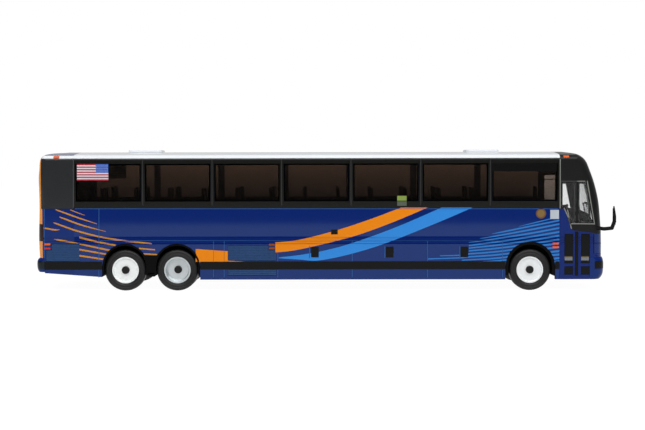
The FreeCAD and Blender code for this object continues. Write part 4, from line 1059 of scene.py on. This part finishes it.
def tyre_outline(inner_y, outer_y):
    return [
        (TYRE_SEAT, inner_y + 0.2), (4.6, inner_y), (5.35, inner_y + 0.15), (5.66, inner_y + 0.45),
        (axle_z, inner_y + 0.85), (axle_z, outer_y - 0.85), (5.72, outer_y - 0.55), (5.6, outer_y - 0.3),
        (5.4, outer_y - 0.13), (5.1, outer_y - 0.03), (4.92, outer_y), (4.88, outer_y - 0.05),
        (4.55, outer_y - 0.05), (4.5, outer_y), (4.3, outer_y - 0.02), (4.1, outer_y - 0.12),
        (3.9, outer_y - 0.2), (TYRE_SEAT, outer_y - 0.22),
    ]


print("corners of a tyre:", len(tyre_outline(0, 3)) * TURN_STEPS)

# %% [markdown]
# Each smooth ring takes the place of one faceted solid and rolls with its axle. The drive axle has twin
# tyres: its solids are about twice as wide, and two rings stand in for each.

# %% Smooth tyres
TYRE_WIDTH = 3.2
for name, axle_x in axles.items():
    for side_name, side in (("left", 1), ("right", -1)):
        node = name + "_tyre_" + side_name
        low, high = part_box(node)
        spans = sorted(abs(value) / MM for value in (low.y, high.y))
        bm = bmesh.new()
        lathe(bm, tyre_outline(spans[1] - TYRE_WIDTH, spans[1]), axle_x, side)
        twin = spans[1] - spans[0] > TYRE_WIDTH * 1.5
        if twin:
            lathe(bm, tyre_outline(spans[0], spans[0] + TYRE_WIDTH), axle_x, side)
        tyre = finish_mesh(name + "_vinyl_tyre_" + side_name, bm, tyre_vinyl, name + "_axle")
        for polygon in tyre.data.polygons:
            polygon.use_smooth = True
        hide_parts(node)
print("tyres turned")

# %% [markdown]
# The mirror heads carry a silvered plate on the back. It is a smooth metal with hardly any roughness. The
# heads are turned in by 13 degrees, to the driver, and each plate is built with the same turn.

# %% Mirror plates
mirror_silver = new_finish("silvered glass", "#E6E8EA", 0.04, Metallic=1.0)[0]
MIRROR_TURN = math.radians(13)
HEAD_BEHIND_TIP = 0.7
HEAD_INSIDE_EDGE = 1.34
PLATE_CORNERS = [(-0.92, 18.9), (0.92, 18.9), (0.92, 21.4), (0.75, 22.9), (-0.75, 22.9), (-0.92, 21.4)]
PLATE_BACK = 0.5
PLATE_THICKNESS = 0.16
for side_name, side in (("left", 1), ("right", -1)):
    low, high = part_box("mirror_" + side_name)
    head_x = high.x / MM - HEAD_BEHIND_TIP
    head_y = max(abs(low.y), abs(high.y)) / MM - HEAD_INSIDE_EDGE
    across = (-math.sin(MIRROR_TURN), math.cos(MIRROR_TURN))
    backwards = (-math.cos(MIRROR_TURN), -math.sin(MIRROR_TURN))
    bm = bmesh.new()
    corners = []
    for w, z in PLATE_CORNERS:
        x = head_x + across[0] * w + backwards[0] * PLATE_BACK
        y = head_y + across[1] * w + backwards[1] * PLATE_BACK
        corners.append(bm.verts.new((x, side * y, z)))
    face = bm.faces.new(corners)
    made = bmesh.ops.extrude_face_region(bm, geom=[face], use_keep_orig=True)
    for vert in [item for item in made["geom"] if isinstance(item, bmesh.types.BMVert)]:
        vert.co.x += PLATE_THICKNESS
    finish_mesh("mirror_plate_" + side_name, bm, mirror_silver)
    print("mirror plate", side_name, "at", round(head_x, 2), round(side * head_y, 2))

# %% [markdown]
# Behind each clear lens sit two plated reflector bowls. A ray from ahead finds the lens, so that every bowl
# leans with it.

# %% Headlamp bowls
BOWL_STEPS = 32
BOWL_SPREAD = 10.75
BOWL_RISE = 1.38
BOWL_OUTLINE = [(0.0, -0.08), (1.1, -0.08), (1.1, 0.08), (0.98, 0.1), (0.86, 0.03), (0.45, -0.02),
                (0.36, 0.06), (0.0, 0.1)]
AHEAD = 0.12
plated = new_finish("vacuum plated reflector", "#C3C9CF", 0.18, Metallic=0.9)[0]
lamp_middle = sum(corner.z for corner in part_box("headlamps")) / 2 / MM
bpy.context.view_layer.update()
bm = bmesh.new()
for side in (-1, 1):
    for rise in (-BOWL_RISE, BOWL_RISE):
        start = Vector((AHEAD, side * BOWL_SPREAD * MM, (lamp_middle + rise) * MM))
        found, place, normal, _ = nodes["headlamps"].ray_cast(start, Vector((-1, 0, 0)))
        turned = normal.to_track_quat("Z", "Y")
        rings = []
        for r, height in BOWL_OUTLINE:
            angles = [2 * math.pi * step / BOWL_STEPS for step in range(BOWL_STEPS)] if r else [0.0]
            points = [turned @ Vector((r * math.cos(angle), r * math.sin(angle), height)) for angle in angles]
            rings.append([bm.verts.new(place / MM + point) for point in points])
        for ring, after in zip(rings, rings[1:]):
            for i in range(BOWL_STEPS):
                j = (i + 1) % BOWL_STEPS
                edge = [ring[i % len(ring)], ring[j % len(ring)]]
                edge_after = [after[j % len(after)], after[i % len(after)]]
                bm.faces.new(list(dict.fromkeys(edge + edge_after)))
print("bowl found:", found, [round(value / MM, 2) for value in place])
finish_mesh("headlamp_bowls", bm, plated)

# %% [markdown]
# The floor is one large flat face under the wheels. It ends at the camera, because beyond it the room was
# dark, and the glossy side of the coach would show it.

# %% Floor
FLOOR_FRONT = -352
FLOOR_BACK = 1200
FLOOR_SIDE = 900
floor_bm = bmesh.new()
floor_corners = [(-FLOOR_SIDE, FLOOR_FRONT), (FLOOR_SIDE, FLOOR_FRONT), (FLOOR_SIDE, FLOOR_BACK),
                 (-FLOOR_SIDE, FLOOR_BACK)]
floor_bm.faces.new([floor_bm.verts.new((x, y, 0)) for x, y in floor_corners])
bmesh.ops.scale(floor_bm, vec=(MM, MM, MM), verts=floor_bm.verts)
floor_mesh = bpy.data.meshes.new("floor")
floor_bm.to_mesh(floor_mesh)
floor_bm.free()
floor = bpy.data.objects.new("floor", floor_mesh)
bpy.context.scene.collection.objects.link(floor)
print("floor from", FLOOR_FRONT, "to", FLOOR_BACK)

# %% [markdown]
# To the camera the floor is nearly white with a soft contact shadow. The light path node tells the rays
# apart. Rays that look at the floor, straight, in gloss or through glass, meet an even glow with a tenth of
# the paper, which takes the shadow. All others meet plain paper, so that the coach is lit from below as it
# would be by real paper, and not by the glow.

# %% White paper
PAPER_WHITE = (0.9, 0.9, 0.9, 1.0)
WHITE = (1.0, 1.0, 1.0, 1.0)
PAPER_SHARE = 0.9
PAPER_GLOW = 0.975
floor_paper = bpy.data.materials.new("white paper sweep")
floor_paper.use_nodes = True
tree = floor_paper.node_tree
tree.nodes.clear()
rays = add(tree, "LightPath").outputs
seen = add(tree, "Math", {0: rays["Is Camera Ray"], 1: rays["Is Glossy Ray"]}, operation="MAXIMUM")
seen = add(tree, "Math", {0: seen.outputs[0], 1: rays["Is Transmission Ray"]}, operation="MAXIMUM")
share = add(tree, "Math", {0: seen.outputs[0], 1: PAPER_SHARE}, operation="MULTIPLY")
paper = add(tree, "BsdfDiffuse", {"Color": PAPER_WHITE})
dimmed = add(tree, "MixShader", {0: share.outputs[0], 1: paper.outputs[0]})
strength = add(tree, "Math", {0: seen.outputs[0], 1: PAPER_GLOW}, operation="MULTIPLY")
glow = add(tree, "Emission", {"Color": WHITE, "Strength": strength.outputs[0]})
lit = add(tree, "AddShader", {0: dimmed.outputs[0], 1: glow.outputs[0]})
add(tree, "OutputMaterial", {"Surface": lit.outputs[0]})
floor_mesh.materials.append(floor_paper)
print("floor finish:", floor_paper.name)

# %% [markdown]
# Most of the light comes from a white studio above and behind, dimmer in front. The camera and the glass
# see plain white. Gloss sees the studio itself, which is dark in front, and that keeps the upper side deep
# blue.

# %% World
STUDIO_LEVEL = 0.55
FRONT_LEVEL = 0.02
world = bpy.data.worlds.new("studio")
bpy.context.scene.world = world
world.use_nodes = True
tree = world.node_tree
tree.nodes.clear()
direction = add(tree, "SeparateXYZ", {"Vector": add(tree, "TexCoord").outputs["Generated"]}).outputs
upward = add(tree, "MapRange", {"Value": direction["Z"], "From Min": 0.12, "From Max": 0.6, "To Min": 0.0,
                                "To Max": STUDIO_LEVEL})
backward = add(tree, "MapRange", {"Value": direction["Y"], "From Min": -0.3, "From Max": 0.6,
                                  "To Min": FRONT_LEVEL, "To Max": STUDIO_LEVEL})
level = add(tree, "Math", {0: upward.outputs["Result"], 1: backward.outputs["Result"]}, operation="MAXIMUM")
rays = add(tree, "LightPath").outputs
seen = add(tree, "Math", {0: rays["Is Camera Ray"], 1: rays["Is Transmission Ray"]}, operation="MAXIMUM")
level = add(tree, "Mix", {"Factor": seen.outputs[0], "A": level.outputs[0], "B": 1.0}, data_type="FLOAT")
sky = add(tree, "Background", {"Color": WHITE, "Strength": level.outputs["Result"]})
add(tree, "OutputWorld", {"Surface": sky.outputs[0]})
print("studio level", STUDIO_LEVEL, "and in front", FRONT_LEVEL)

# %% [markdown]
# One large soft lamp hangs over the camera and fills the near side. A large lamp gives soft shadows, and a
# broad, faint gleam instead of a hard spot.

# %% Lamp
LAMP_WATTS = 2.6
LAMP_SIZE = (0.7, 0.35)
LAMP_PLACE = (0.05, -0.42, 0.42)
LAMP_AIM = (0.0, 0.0, 0.02)
lamp_data = bpy.data.lights.new("soft_lamp", "AREA")
lamp_data.shape = "RECTANGLE"
lamp_data.size, lamp_data.size_y = LAMP_SIZE
lamp_data.energy = LAMP_WATTS
lamp = bpy.data.objects.new("soft_lamp", lamp_data)
lamp.location = LAMP_PLACE
lamp.rotation_euler = (Vector(LAMP_AIM) - Vector(LAMP_PLACE)).to_track_quat("-Z", "Y").to_euler()
bpy.context.scene.collection.objects.link(lamp)
print("lamp", LAMP_WATTS, "W at", LAMP_PLACE)
